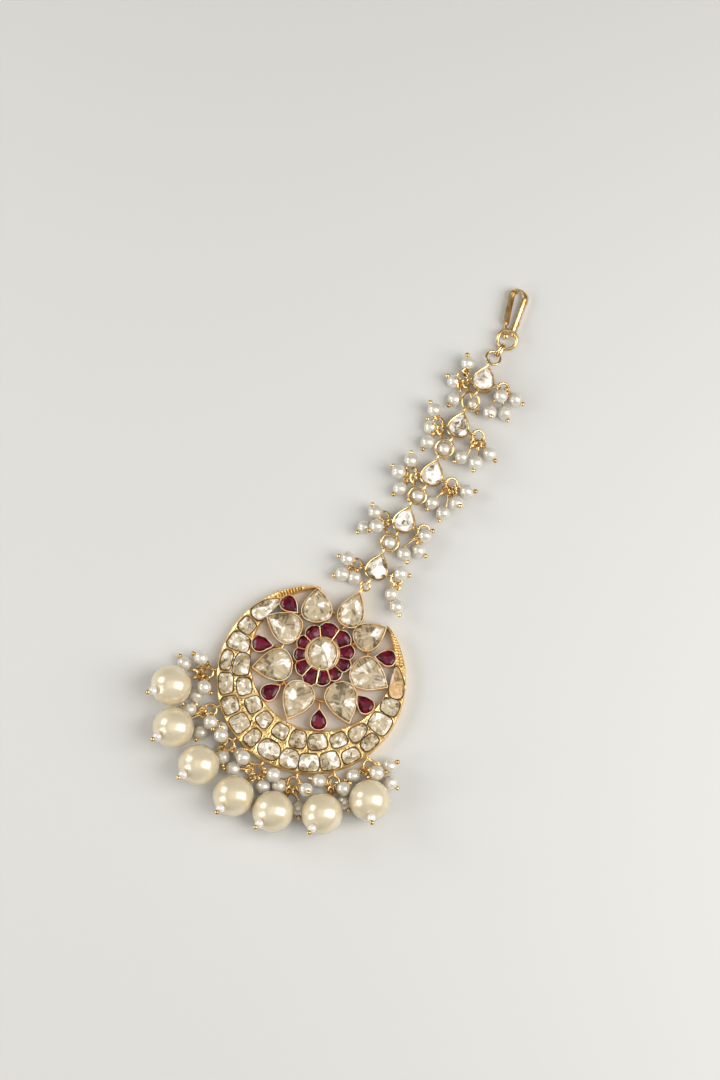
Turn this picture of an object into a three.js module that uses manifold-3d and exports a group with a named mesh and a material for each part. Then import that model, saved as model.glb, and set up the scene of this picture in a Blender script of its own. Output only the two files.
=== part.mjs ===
// A maang tikka lying on its back: an openwork pendant of gold and flat-cut stones, seven large
// pearls along its lower edge, a chain of five pear-shaped links with bunches of small pearls,
// and a spring hook. Millimetres. The origin is under the centre of the pendant's flower, on its
// flat back; +Y runs up the chain to the hook and +Z comes out of the face.
import * as THREE from 'three';
import { mergeVertices } from 'three/addons/utils/BufferGeometryUtils.js';
import Module from 'manifold-3d';

const wasm = await Module();
wasm.setup();

// ---- driving dimensions ----
const OUTER = { x: 0.7, y: -6.1, radius: 20.6 }; // outer edge of the crescent
const INNER = { x: 0.6, y: -1.0, radius: 15.7 }; // inner edge of the crescent
const HORNS = { left: 116, right: 64 }; // headings of its two points from the outer centre
const FRAME_THICK = 2.7;
const BEZEL_THICK = 2.9; // flower and drop bezels stand a little above the crescent
const WALL = 0.4; // gold round a stone
const FIT = 0.12; // space between a stone and its bezel
const SEAT = 1.4; // height of the floor under a flower stone
const STONE_TOP = 3.4;
const TABLE_SHARE = 0.55; // a stone's flat top, as a share of its outline
const PEAR_TRIM = { shorter: 2.6, back: 0.3 }; // what a wall takes off a pear, in walls
const LINK_LIFT = 0.9; // the chain lies on its pearls
const LINK_THICK = 2.6;
const LINK_SEAT = 1.2;
const LINK_STONE_RISE = 0.5; // a link's stone stands this far out of it
const BUNCH_TILT = 15; // how far the rings beside the links hang down
const LOOP = { reach: 0.95, rise: 0.64, wire: 0.2 }; // soldered loops, mean half axes
const CHAIN_RING = { wire: 0.27 };
const CLUSTER_RING = { radius: 1.32, wire: 0.27 };
const BIG_PEARL = 4.5;
const PEARL = 1.6;
const SEED = 0.95;
const BALL = 0.55;
const PIN_WIRE = 0.2;
const BORE = 0.4;
const DROP_LIFT = 42; // slope of the large pearls' pins

// The pears of the flower: point of each bezel, heading of the point, length and width.
const PETALS = [
  { x: -8.2, y: 12.1, heading: 118, length: 7.8, width: 6.9 },
  { x: 0.4, y: 15.9, heading: 97, length: 8.4, width: 6.0 },
  { x: 9.3, y: 12.2, heading: 57, length: 8.0, width: 6.4 },
  { x: 16.1, y: 0.7, heading: -3, length: 9.2, width: 7.5 },
  { x: 12.8, y: -10.4, heading: -43, length: 9.6, width: 7.2 },
  { x: 0.5, y: -16.3, heading: -87, length: 9.1, width: 7.1 },
  { x: -11.8, y: -10.3, heading: 216, length: 9.0, width: 7.3 },
  { x: -14.9, y: 1.1, heading: 180, length: 8.7, width: 7.1 },
];

// The small red drops between the pears, centre and heading of the point.
const DROPLETS = [
  { x: -11.4, y: 5.7, heading: -14 },
  { x: -12.3, y: -4.7, heading: 21 },
  { x: -5.5, y: -12.6, heading: 62 },
  { x: 6.5, y: -12.8, heading: 117 },
  { x: 13.3, y: -4.9, heading: 159 },
  { x: 12.3, y: 6.0, heading: 204 },
];
const DROPLET = { length: 5.0, width: 3.8 };

// The red petals round the centre: heading, and how far out each one's edge is.
const RED_PETALS = [
  { heading: 106, reach: 7.1 }, { heading: 64, reach: 7.3 }, { heading: 32, reach: 7.2 },
  { heading: 2, reach: 6.9 }, { heading: -29, reach: 6.8 }, { heading: -57, reach: 7.2 },
  { heading: -86, reach: 7.9 }, { heading: -117, reach: 6.9 }, { heading: -148, reach: 6.4 },
  { heading: 180, reach: 6.3 }, { heading: 146, reach: 6.6 },
];
const CENTRE = { length: 7.4, width: 6.8, heading: 113 };

// Short solder bridges that hold the openwork together: from one place to the next.
const BRIDGES = [
  { x1: -4.6, y1: 9.4, x2: -1.2, y2: 9.0 }, { x1: 2.6, y1: 9.8, x2: 5.6, y2: 9.8 },
  { x1: -9.3, y1: 4.2, x2: -7.3, y2: 6.6 }, { x1: -8.4, y1: -1.6, x2: -8.4, y2: -4.4 },
  { x1: -5.4, y1: -8.6, x2: -2.8, y2: -10.4 }, { x1: 3.0, y1: -9.4, x2: 5.8, y2: -8.8 },
  { x1: 8.8, y1: -3.0, x2: 9.0, y2: -5.6 }, { x1: 8.0, y1: 5.6, x2: 9.8, y2: 3.4 },
  { x1: -4.6, y1: 5.2, x2: -5.2, y2: 6.4 }, { x1: 4.4, y1: 5.0, x2: 5.4, y2: 6.2 },
  { x1: 6.4, y1: 0.8, x2: 7.6, y2: 0.8 }, { x1: 4.6, y1: -4.6, x2: 6.0, y2: -5.0 },
  { x1: 0.2, y1: -7.2, x2: 0.3, y2: -8.0 }, { x1: -4.2, y1: -4.6, x2: -5.4, y2: -5.2 },
  { x1: -5.8, y1: 0.6, x2: -7.0, y2: 1.0 }, { x1: 1.0, y1: 6.6, x2: 1.2, y2: 8.2 },
  { x1: -14.0, y1: 6.4, x2: -15.6, y2: 7.2 }, { x1: -14.0, y1: -5.4, x2: -15.4, y2: -6.0 },
  { x1: -6.4, y1: -14.4, x2: -7.4, y2: -16.2 }, { x1: 7.4, y1: -14.6, x2: 8.2, y2: -16.4 },
  { x1: 15.0, y1: -5.4, x2: 16.8, y2: -5.8 }, { x1: 14.0, y1: 6.8, x2: 15.6, y2: 7.4 },
  { x1: -9.6, y1: 5.2, x2: -8.6, y2: 4.2 }, { x1: -10.4, y1: -4.0, x2: -8.6, y2: -3.2 },
  { x1: -4.7, y1: -10.9, x2: -4.1, y2: -9.4 }, { x1: 5.5, y1: -10.9, x2: 4.6, y2: -9.2 },
  { x1: 11.4, y1: -4.2, x2: 8.9, y2: -4.2 }, { x1: 10.4, y1: 5.2, x2: 8.9, y2: 4.5 },
  { x1: -8.8, y1: 12.0, x2: -7.6, y2: 12.4 }, { x1: 9.0, y1: 12.4, x2: 10.2, y2: 11.6 },
];

// The large pearls: heading of the soldered loop round the crescent, the pearl's centre, and
// the heading of its pin.
const DROPS = [
  { loop: -156, x: -24.7, y: -22.6, pin: -127 },
  { loop: -134, x: -19.6, y: -30.2, pin: -114 },
  { loop: -112, x: -10.8, y: -34.4, pin: -112 },
  { loop: -90, x: -0.9, y: -36.4, pin: -101 },
  { loop: -68, x: 8.1, y: -35.1, pin: -104 },
  { loop: -46, x: 17.5, y: -30.2, pin: -92 },
  { loop: -24, x: 24.9, y: -22.6, pin: -55 },
];

// The small pearls at each large one: centre, and the heading and slope of the pin's ball.
const CLUSTERS = [
  [
    { x: -22.3, y: -14.1, z: 3.2, pin: 180, lift: 5 },
    { x: -25.0, y: -16.8, z: 1.6, pin: 150, lift: 10 },
    { x: -18.4, y: -19.3, z: 3.9, pin: -10, lift: 5 },
    { x: -19.2, y: -21.5, z: 1.6, pin: -60, lift: 0 },
  ],
  [
    { x: -18.9, y: -24.9, z: 1.6, pin: 170, lift: 10 },
    { x: -14.2, y: -28.0, z: 1.9, pin: -95, lift: 12 },
    { x: -13.3, y: -25.2, z: 4.2, pin: -40, lift: 30 },
  ],
  [
    { x: -10.9, y: -25.0, z: 1.6, pin: 150, lift: 10 },
    { x: -9.9, y: -26.5, z: 4.4, pin: 120, lift: 20 },
    { x: -7.3, y: -30.2, z: 1.6, pin: -60, lift: 20 },
    { x: -4.4, y: -27.7, z: 1.6, pin: 190, lift: 0 },
  ],
  [
    { x: -3.3, y: -28.3, z: 4.6, pin: 100, lift: 10 },
    { x: -4.2, y: -31.3, z: 2.2, pin: -150, lift: 5 },
    { x: 4.2, y: -28.2, z: 3.8, pin: -170, lift: 10 },
    { x: 3.4, y: -31.4, z: 1.6, pin: -60, lift: 5 },
  ],
  [
    { x: 6.3, y: -29.5, z: 1.6, pin: -60, lift: 0 },
    { x: 11.9, y: -27.5, z: 4.3, pin: -20, lift: 65 },
    { x: 12.4, y: -31.6, z: 1.6, pin: -60, lift: 5 },
  ],
  [
    { x: 13.3, y: -24.4, z: 3.2, pin: -168, lift: 5 },
    { x: 18.8, y: -23.2, z: 3.8, pin: 70, lift: 20 },
    { x: 20.3, y: -25.5, z: 1.6, pin: -35, lift: 10 },
  ],
  [
    { x: 19.1, y: -19.6, z: 1.6, pin: -120, lift: 0 },
    { x: 23.3, y: -16.7, z: 4.6, pin: 33, lift: 10 },
    { x: 24.9, y: -13.9, z: 2.6, pin: 57, lift: 20 },
    { x: 26.8, y: -16.9, z: 2.2, pin: -10, lift: 10 },
  ],
];

// The links: centre, heading of the point, and how far the round end is tipped up.
const LINKS = [
  { x: 0.9, y: 22.6, heading: 101, tip: 0 },
  { x: 0.8, y: 34.7, heading: 101, tip: 0 },
  { x: 0.9, y: 46.8, heading: 102, tip: 0 },
  { x: 0.7, y: 58.9, heading: 102, tip: 3 },
  { x: 0.3, y: 70.4, heading: 104, tip: 12 },
];
const LINK = { length: 6.3, width: 5.2 };

// The bunches beside each link: small pearls' centres from the link's centre.
const LINK_CLUSTERS = [
  {
    left: [
      { x: -6.7, y: -1.8, z: 2.8, pin: -166, lift: 5 }, { x: -6.0, y: -5.2, z: 2.0, pin: -140, lift: 5 },
      { x: -3.3, y: -4.4, z: 1.6, pin: 100, lift: 40 },
    ],
    right: [
      { x: 5.1, y: 1.2, z: 2.6, pin: 16, lift: 5 }, { x: 5.6, y: -3.6, z: 1.6, pin: -60, lift: 0 },
      { x: 8.0, y: -5.6, z: 2.4, pin: -43, lift: 10 },
    ],
  },
  {
    left: [
      { x: -6.5, y: -1.9, z: 2.6, pin: 140, lift: 30 }, { x: -6.8, y: -5.9, z: 2.2, pin: -115, lift: 5 },
      { x: -4.5, y: -4.7, z: 4.3, pin: -120, lift: 10 },
    ],
    right: [
      { x: 5.6, y: -0.9, z: 2.5, pin: 60, lift: 10 }, { x: 6.0, y: -4.4, z: 1.6, pin: -10, lift: 10 },
      { x: 3.7, y: -6.8, z: 2.6, pin: -40, lift: 10 },
    ],
  },
  {
    left: [
      { x: -5.5, y: 0.0, z: 2.6, pin: 120, lift: 30 }, { x: -6.6, y: -3.6, z: 3.0, pin: 166, lift: 5 },
      { x: -4.5, y: -6.6, z: 2.0, pin: -110, lift: 5 },
    ],
    right: [
      { x: 8.5, y: 0.2, z: 2.0, pin: 30, lift: 5 }, { x: 8.0, y: -3.4, z: 3.2, pin: -20, lift: 55 },
      { x: 6.4, y: -6.6, z: 2.0, pin: -89, lift: 5 }, { x: 3.2, y: -5.7, z: 1.6, pin: -100, lift: 5 },
    ],
  },
  {
    left: [
      { x: -6.5, y: 0.4, z: 2.6, pin: 150, lift: 10 }, { x: -5.4, y: -3.2, z: 1.6, pin: 139, lift: 10 },
      { x: -4.2, y: -6.6, z: 2.2, pin: -95, lift: 5 },
    ],
    right: [
      { x: 4.0, y: -5.8, z: 2.4, pin: -119, lift: 5 }, { x: 7.3, y: -5.5, z: 3.2, pin: -78, lift: 10 },
      { x: 8.9, y: -2.1, z: 2.0, pin: -20, lift: 5 },
    ],
  },
  {
    left: [
      { x: -4.9, y: 1.8, z: 2.4, pin: 125, lift: 10 }, { x: -5.6, y: -3.2, z: 2.0, pin: 170, lift: 10 },
      { x: -3.5, y: -6.6, z: 1.6, pin: -105, lift: 5 },
    ],
    right: [
      { x: 5.1, y: -1.2, z: 3.4, pin: 80, lift: 10 }, { x: 8.2, y: 0.0, z: 2.2, pin: -5, lift: 5 },
      { x: 7.6, y: -3.7, z: 1.8, pin: -41, lift: 5 }, { x: 4.8, y: -5.6, z: 3.2, pin: -46, lift: 50 },
    ],
  },
];

// A pearl of each upper link's left bunch lies under the ring below that link.
const CAUGHT = [
  { side: 0, pin: -45 },
  { side: 0, pin: -130 },
  { side: 0, pin: -55 },
  { side: 1.0, pin: -40 },
];

// The hook: its ring, the link that joins it to the chain, and the bent strip.
const HOOK_RING = { x: 0.2, y: 81.45, z: 1.75, radius: 2.1, wire: 0.4, tilt: 12 };
const HOOK_LINK = { x: 0.0, y: 78.65, z: 1.3, reach: 1.5, rise: 0.95, wire: 0.26, heading: 85 };
const HOOK = { bendX: -2.4, bendY: 91.3, bend: 1.7, rightX: 0.7, rightY: 83.4, leftX: -1.9, leftY: 84.2 };
const STRIP = { thick: 0.55, width: 1.6, z: 1.2 };
const TAIL = { radius: 0.32, x: -0.5, y: 82.3, z: 0.75, knob: 0.6 };

// ---- small helpers ----
const radians = (degrees) => (degrees * Math.PI) / 180;

// The point that lies a distance away from another, at a heading in the plan.
function step(x, y, heading, distance) {
  return { x: x + distance * Math.cos(radians(heading)), y: y + distance * Math.sin(radians(heading)) };
}

const headingTo = (from, to) => (Math.atan2(to.y - from.y, to.x - from.x) * 180) / Math.PI;

// A unit vector at a heading in the plan and a slope above it.
function direction(heading, lift) {
  const flat = Math.cos(radians(lift));
  return new THREE.Vector3(
    flat * Math.cos(radians(heading)),
    flat * Math.sin(radians(heading)),
    Math.sin(radians(lift)),
  );
}

// Turns a closed geometry into a solid that can be joined and cut.
function solid(geometry) {
  const bare = geometry.clone();
  bare.deleteAttribute('normal');
  bare.deleteAttribute('uv');
  const merged = mergeVertices(bare, 1e-4);
  return new wasm.Manifold(new wasm.Mesh({
    numProp: 3,
    vertProperties: new Float32Array(merged.attributes.position.array),
    triVerts: new Uint32Array(merged.index.array),
  }));
}

// Turns a solid back into a geometry.
function geometryOf(body) {
  const mesh = body.getMesh();
  const geometry = new THREE.BufferGeometry();
  geometry.setAttribute('position', new THREE.BufferAttribute(new Float32Array(mesh.vertProperties), 3));
  geometry.setIndex(new THREE.BufferAttribute(new Uint32Array(mesh.triVerts), 1));
  geometry.computeVertexNormals();
  return geometry;
}

const join = (bodies) => bodies.reduce((all, body) => all.add(body));

// A straight-sided block over an outline, from one height to another.
function block(points, bottom, top) {
  const outline = new THREE.Shape(points);
  const geometry = new THREE.ExtrudeGeometry(outline, { depth: top - bottom, bevelEnabled: false });
  return solid(geometry.translate(0, 0, bottom));
}

// A pear outline with its point towards +X and its middle at the origin.
function pear(length, width, count) {
  const fullness = 1.299; // makes the widest place as wide as asked
  return Array.from({ length: count }, (_, i) => {
    const t = (2 * Math.PI * i) / count;
    return new THREE.Vector2(
      (length / 2) * Math.cos(t),
      ((fullness * width) / 2) * Math.sin(t) * Math.sin(t / 2),
    );
  });
}

function ellipse(length, width, count) {
  return Array.from({ length: count }, (_, i) => {
    const t = (2 * Math.PI * i) / count;
    return new THREE.Vector2((length / 2) * Math.cos(t), (width / 2) * Math.sin(t));
  });
}

// Turns an outline to a heading and moves it to a place.
function placed(points, x, y, heading) {
  const centre = new THREE.Vector2();
  return points.map((p) => p.clone().rotateAround(centre, radians(heading)).add(new THREE.Vector2(x, y)));
}

// A stone: a straight girdle under a crown that slopes in to a small table.
function cutStone(points, bottom, girdle, top) {
  const count = points.length;
  const middle = points.reduce((sum, p) => sum.add(p), new THREE.Vector2()).divideScalar(count);
  const levels = [[1, bottom], [1, girdle], [TABLE_SHARE, top]];
  const vertices = [];
  for (const [scale, height] of levels) {
    for (const p of points) {
      vertices.push(middle.x + (p.x - middle.x) * scale, middle.y + (p.y - middle.y) * scale, height);
    }
  }
  const faces = [];
  for (let level = 0; level < 2; level += 1) {
    for (let i = 0; i < count; i += 1) {
      const a = level * count + i;
      const b = level * count + ((i + 1) % count);
      faces.push(a, b, b + count, a, b + count, a + count);
    }
  }
  for (const [a, b, c] of THREE.ShapeUtils.triangulateShape(points, [])) {
    faces.push(a, c, b, a + 2 * count, b + 2 * count, c + 2 * count);
  }
  const geometry = new THREE.BufferGeometry();
  geometry.setAttribute('position', new THREE.BufferAttribute(new Float32Array(vertices), 3));
  geometry.setIndex(faces);
  geometry.computeVertexNormals();
  return geometry;
}

// A ball with its poles up and down.
function ball(centre, radius, around, rings) {
  const geometry = new THREE.SphereGeometry(radius, around, rings).rotateX(Math.PI / 2);
  return solid(geometry.translate(centre.x, centre.y, centre.z));
}

// A straight wire between two places.
function rod(a, b, radius, sides = 4) {
  const section = new THREE.Shape(ellipse(2 * radius, 2 * radius, sides));
  const extrudePath = new THREE.LineCurve3(a, b);
  return solid(new THREE.ExtrudeGeometry(section, { steps: 1, extrudePath, bevelEnabled: false }));
}

// A ring that lies flat, or tilted about the line at a heading.
function ringGeometry(centre, radius, thickness, heading, tilt) {
  const geometry = new THREE.TorusGeometry(radius, thickness, 4, 10);
  geometry.rotateY(radians(tilt)).rotateZ(radians(heading));
  return geometry.translate(centre.x, centre.y, centre.z);
}

// An upright loop of wire, longer along its heading than it is high.
function uprightLoop(centre, heading, reach, rise, thickness) {
  const geometry = new THREE.TorusGeometry(2, 1, 4, 8);
  const place = geometry.attributes.position;
  for (let i = 0; i < place.count; i += 1) {
    const x = place.getX(i);
    const y = place.getY(i);
    const angle = Math.atan2(y, x);
    const out = (Math.hypot(x, y) - 2) * thickness;
    const across = place.getZ(i) * thickness;
    place.setXYZ(i, (reach + out) * Math.cos(angle), (rise + out) * Math.sin(angle), across);
  }
  geometry.rotateX(Math.PI / 2).rotateZ(radians(heading));
  return geometry.translate(centre.x, centre.y, centre.z);
}

// ---- materials ----
function metal(color) {
  return new THREE.MeshStandardMaterial({ color, roughness: 0.3, metalness: 1 });
}

function gloss(color, roughness) {
  return new THREE.MeshStandardMaterial({ color, roughness, metalness: 0 });
}

const tikka = new THREE.Group();

function add(name, geometry, material, parent = tikka) {
  const mesh = new THREE.Mesh(geometry, material);
  mesh.name = name;
  parent.add(mesh);
}

// ---- the pendant: crescent, bezels, bridges and loops, soldered into one ----
function arcPoints(circle, from, to, count) {
  return Array.from({ length: count + 1 }, (_, i) => {
    const p = step(circle.x, circle.y, from + ((to - from) * i) / count, circle.radius);
    return new THREE.Vector2(p.x, p.y);
  });
}

function crescent() {
  const horn = (heading) => step(OUTER.x, OUTER.y, heading, OUTER.radius - 0.45);
  const innerHeading = (heading) => headingTo(INNER, horn(heading));
  const outer = arcPoints(OUTER, HORNS.left, HORNS.right + 360, 44);
  const inner = arcPoints(INNER, innerHeading(HORNS.right) + 360, innerHeading(HORNS.left), 32);
  return block([...outer, ...inner], 0, FRAME_THICK);
}

function petalPlace(petal) {
  return step(petal.x, petal.y, petal.heading, -petal.length / 2);
}

function petalOutline(petal, trim, count) {
  const middle = petalPlace(petal);
  const centre = step(middle.x, middle.y, petal.heading, -PEAR_TRIM.back * trim);
  const points = pear(petal.length - PEAR_TRIM.shorter * trim, petal.width - 2 * trim, count);
  return placed(points, centre.x, centre.y, petal.heading);
}

const petalBezel = (petal) => block(petalOutline(petal, 0, 16), 0, BEZEL_THICK);

const petalPocket = (petal) => block(petalOutline(petal, WALL, 14), SEAT, BEZEL_THICK + 1);

function dropletBezel(droplet) {
  const points = placed(pear(DROPLET.length, DROPLET.width, 12), droplet.x, droplet.y, droplet.heading);
  return block(points, 0, BEZEL_THICK);
}

// The scalloped outline of the red petals, each lobe a rounded bulge between two notches.
const SHOULDERS = [{ turn: -0.28, drop: 0.2 }, { turn: 0, drop: 0 }, { turn: 0.28, drop: 0.2 }];
const NOTCH = 0.75;

function scallops(trim) {
  const points = [];
  RED_PETALS.forEach((petal, i) => {
    const next = RED_PETALS[(i + 1) % RED_PETALS.length];
    let gap = next.heading - petal.heading;
    if (gap > 0) {
      gap -= 360;
    }
    for (const shoulder of SHOULDERS) {
      const p = step(0, 0, petal.heading + shoulder.turn * gap, petal.reach - shoulder.drop - trim);
      points.push(new THREE.Vector2(p.x, p.y));
    }
    const notch = Math.min(petal.reach, next.reach) - NOTCH;
    const p = step(0, 0, petal.heading + gap / 2, notch - trim);
    points.push(new THREE.Vector2(p.x, p.y));
  });
  return points.reverse();
}

function centreOutline(grow, count) {
  return placed(ellipse(CENTRE.length + 2 * grow, CENTRE.width + 2 * grow, count), 0, 0, CENTRE.heading);
}

// What the flower's middle is hollowed by: the ring of red petals and the centre stone's seat.
function flowerPocket() {
  const ring = block(scallops(WALL), SEAT, BEZEL_THICK + 1)
    .subtract(block(centreOutline(0, 20), 0, BEZEL_THICK + 2));
  return ring.add(block(centreOutline(-WALL, 16), SEAT, BEZEL_THICK + 1));
}

const BRIDGE = { width: 0.7, bottom: 0.3, top: 2.3 };

function bridge(place) {
  const half = BRIDGE.width / 2;
  const heading = headingTo({ x: place.x1, y: place.y1 }, { x: place.x2, y: place.y2 });
  const length = Math.hypot(place.x2 - place.x1, place.y2 - place.y1);
  const points = [[0, -half], [length, -half], [length, half], [0, half]];
  const outline = placed(points.map(([x, y]) => new THREE.Vector2(x, y)), place.x1, place.y1, heading);
  return block(outline, BRIDGE.bottom, BRIDGE.top);
}

const LOOP_HEIGHT = 1.5;

function loopAt(heading) {
  const centre = step(OUTER.x, OUTER.y, heading, OUTER.radius + 0.5);
  return solid(uprightLoop({ ...centre, z: LOOP_HEIGHT }, heading, LOOP.reach, LOOP.rise, LOOP.wire));
}

// The loop at the top petal's point, which carries the chain.
const TOP_LOOP = { ...step(PETALS[1].x, PETALS[1].y, PETALS[1].heading, 0.3), z: 2.1 };

function pendantFrame() {
  const bodies = [
    crescent(),
    ...PETALS.map(petalBezel),
    ...DROPLETS.map(dropletBezel),
    block(scallops(0), 0, BEZEL_THICK),
    ...BRIDGES.map(bridge),
    ...DROPS.map((drop) => loopAt(drop.loop)),
    solid(uprightLoop(TOP_LOOP, 90, LOOP.reach, LOOP.rise, LOOP.wire)),
  ];
  const pockets = [...PETALS.map(petalPocket), flowerPocket()];
  return geometryOf(pockets.reduce((frame, pocket) => frame.subtract(pocket), join(bodies)));
}

const gold = () => metal(0xe2b86e);
const polki = () => gloss(0xe6d7b4, 0.15);

add('pendant_frame', pendantFrame(), gold());
PETALS.forEach((petal, i) => {
  const outline = petalOutline(petal, WALL + FIT, 14);
  add(`petal_stone_${i + 1}`, cutStone(outline, SEAT + FIT, BEZEL_THICK - 0.1, STONE_TOP), polki());
});
const middleStone = cutStone(centreOutline(-WALL - FIT, 16), SEAT + FIT, BEZEL_THICK - 0.1, STONE_TOP);
add('centre_stone', middleStone, polki());
{
  const rim = block(scallops(WALL + FIT), SEAT + FIT, BEZEL_THICK + 0.1);
  const hole = block(centreOutline(FIT, 20), 0, BEZEL_THICK + 1);
  add('ruby_ring', geometryOf(rim.subtract(hole)), gloss(0x6e0f2d, 0.1));
}

// ---- the large pearls, their pins and the small pearls beside them ----
function dropPlaces(drop) {
  const loop = step(OUTER.x, OUTER.y, drop.loop, OUTER.radius + 0.9);
  const heading = headingTo(loop, drop);
  const ring = { ...step(loop.x, loop.y, heading, CLUSTER_RING.radius), z: LOOP_HEIGHT };
  const eye = new THREE.Vector3(0, 0, LOOP_HEIGHT);
  eye.x = ring.x + CLUSTER_RING.radius * Math.cos(radians(heading));
  eye.y = ring.y + CLUSTER_RING.radius * Math.sin(radians(heading));
  const pearl = new THREE.Vector3(drop.x, drop.y, BIG_PEARL);
  return { heading, ring, eye, pearl, axis: direction(drop.pin, DROP_LIFT) };
}

function bigPearl(drop) {
  const { pearl, axis } = dropPlaces(drop);
  const body = ball(pearl, BIG_PEARL, 12, 8);
  const from = pearl.clone().addScaledVector(axis, -BIG_PEARL - 1);
  const to = pearl.clone().addScaledVector(axis, BIG_PEARL + 1);
  return geometryOf(body.subtract(rod(from, to, BORE, 6)));
}

function dropPin(drop) {
  const { heading, eye, pearl, axis } = dropPlaces(drop);
  const on = (distance) => pearl.clone().addScaledVector(axis, distance);
  const neck = eye.clone().addScaledVector(direction(heading, 0), 0.7);
  const seed = on(BIG_PEARL + SEED + 0.1);
  const end = on(BIG_PEARL + 2 * SEED + BALL);
  return geometryOf(join([
    solid(uprightLoop(eye, heading, 0.7, 0.62, PIN_WIRE)),
    rod(neck, on(-BIG_PEARL - 0.4), PIN_WIRE, 3),
    rod(on(-BIG_PEARL - 0.5), end, PIN_WIRE),
    ball(seed, SEED, 6, 4),
    ball(end, BALL, 4, 2),
  ]));
}

// A jump ring with small pearls on ball pins: each pin runs from the ring to its pearl.
function pearlBunch(ring, tilt, pearls) {
  const bodies = [solid(ringGeometry(ring, CLUSTER_RING.radius, CLUSTER_RING.wire, ring.heading, tilt))];
  for (const item of pearls) {
    const centre = new THREE.Vector3(item.x, item.y, item.z);
    const side = headingTo(ring, item);
    const drop = Math.cos(radians(side - ring.heading)) * Math.sin(radians(tilt));
    const start = step(ring.x, ring.y, side, CLUSTER_RING.radius);
    const root = new THREE.Vector3(start.x, start.y, ring.z - CLUSTER_RING.radius * drop);
    const tip = centre.clone().addScaledVector(direction(item.pin, item.lift), PEARL + BALL / 2);
    bodies.push(rod(root, centre, PIN_WIRE, 3), rod(centre, tip, PIN_WIRE, 3));
    bodies.push(ball(centre, PEARL, 6, 4), ball(tip, BALL, 4, 2));
  }
  return geometryOf(join(bodies));
}

const pearlMaterial = () => gloss(0xe8dfc4, 0.25);

DROPS.forEach((drop, i) => {
  add(`big_pearl_${i + 1}`, bigPearl(drop), pearlMaterial());
  add(`drop_pin_${i + 1}`, dropPin(drop), gold());
  const { ring, heading } = dropPlaces(drop);
  add(`pearl_cluster_${i + 1}`, pearlBunch({ ...ring, heading }, 0, CLUSTERS[i]), pearlMaterial());
});

// ---- the chain ----
// The matrix that stands a link in its place, tipped about its cross axis.
function linkMatrix(link) {
  const rise = (LINK.length / 2) * Math.sin(radians(link.tip));
  return new THREE.Matrix4()
    .makeTranslation(link.x, link.y, LINK_LIFT + rise)
    .multiply(new THREE.Matrix4().makeRotationZ(radians(link.heading)))
    .multiply(new THREE.Matrix4().makeRotationY(radians(link.tip)));
}

// Where a link's four loops are, in the link's own frame: point, round end, left and right.
const LOOP_SPOTS = {
  point: { x: LINK.length / 2 + 0.65, y: 0, turn: 0 },
  heel: { x: -LINK.length / 2 - 0.55, y: 0.7, turn: 169 },
  left: { x: -LINK.length / 6, y: LINK.width / 2 + 0.4, turn: 90 },
  right: { x: -LINK.length / 6, y: -LINK.width / 2 - 0.4, turn: -90 },
};
const LINK_LOOP_HEIGHT = 1.75;

function linkBody() {
  const pocket = pear(LINK.length - PEAR_TRIM.shorter * WALL, LINK.width - 2 * WALL, 14);
  const bodies = [block(pear(LINK.length, LINK.width, 14), 0, LINK_THICK)];
  for (const spot of Object.values(LOOP_SPOTS)) {
    const centre = { x: spot.x, y: spot.y, z: LINK_LOOP_HEIGHT };
    bodies.push(solid(uprightLoop(centre, spot.turn, LOOP.reach, LOOP.rise, LOOP.wire)));
  }
  return geometryOf(join(bodies).subtract(block(placed(pocket, -0.1, 0, 0), LINK_SEAT, LINK_THICK + 1)));
}

function linkStone() {
  const trim = WALL + FIT;
  const points = pear(LINK.length - PEAR_TRIM.shorter * trim, LINK.width - 2 * trim, 14);
  const outline = placed(points, -0.1, 0, 0);
  return cutStone(outline, LINK_SEAT + FIT, LINK_THICK - 0.1, LINK_THICK + LINK_STONE_RISE);
}

// A place beyond one of a link's loops, in the model's frame.
function loopPlace(link, spot, beyond) {
  const out = direction(spot.turn, 0).multiplyScalar(beyond);
  return new THREE.Vector3(spot.x, spot.y, LINK_LOOP_HEIGHT).add(out).applyMatrix4(linkMatrix(link));
}

const LOOP_END = LOOP.reach - LOOP.wire - CHAIN_RING.wire - 0.05; // where a ring bears in a loop

LINKS.forEach((link, i) => {
  const group = new THREE.Group();
  group.applyMatrix4(linkMatrix(link));
  tikka.add(group);
  add(`link_${i + 1}`, linkBody(), gold(), group);
  add(`link_stone_${i + 1}`, linkStone(), polki(), group);
});

function chainRing(from, to) {
  const middle = from.clone().add(to).multiplyScalar(0.5);
  const heading = headingTo(from, to);
  const tilt = (-Math.asin((to.z - from.z) / from.distanceTo(to)) * 180) / Math.PI;
  const reach = from.distanceTo(to) / 2;
  return ringGeometry(middle, reach, CHAIN_RING.wire, heading, tilt);
}

LINKS.forEach((link, i) => {
  const below = i === 0
    ? new THREE.Vector3(TOP_LOOP.x, TOP_LOOP.y + LOOP_END, TOP_LOOP.z)
    : loopPlace(LINKS[i - 1], LOOP_SPOTS.point, LOOP_END);
  add(`chain_ring_${i + 1}`, chainRing(below, loopPlace(link, LOOP_SPOTS.heel, LOOP_END)), gold());
});
{
  const below = loopPlace(LINKS[4], LOOP_SPOTS.point, LOOP_END);
  const above = new THREE.Vector3(HOOK_LINK.x, HOOK_LINK.y, HOOK_LINK.z);
  above.addScaledVector(direction(HOOK_LINK.heading, 0), -HOOK_LINK.reach + 0.6);
  add('chain_ring_6', chainRing(below, above), gold());
}

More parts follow.
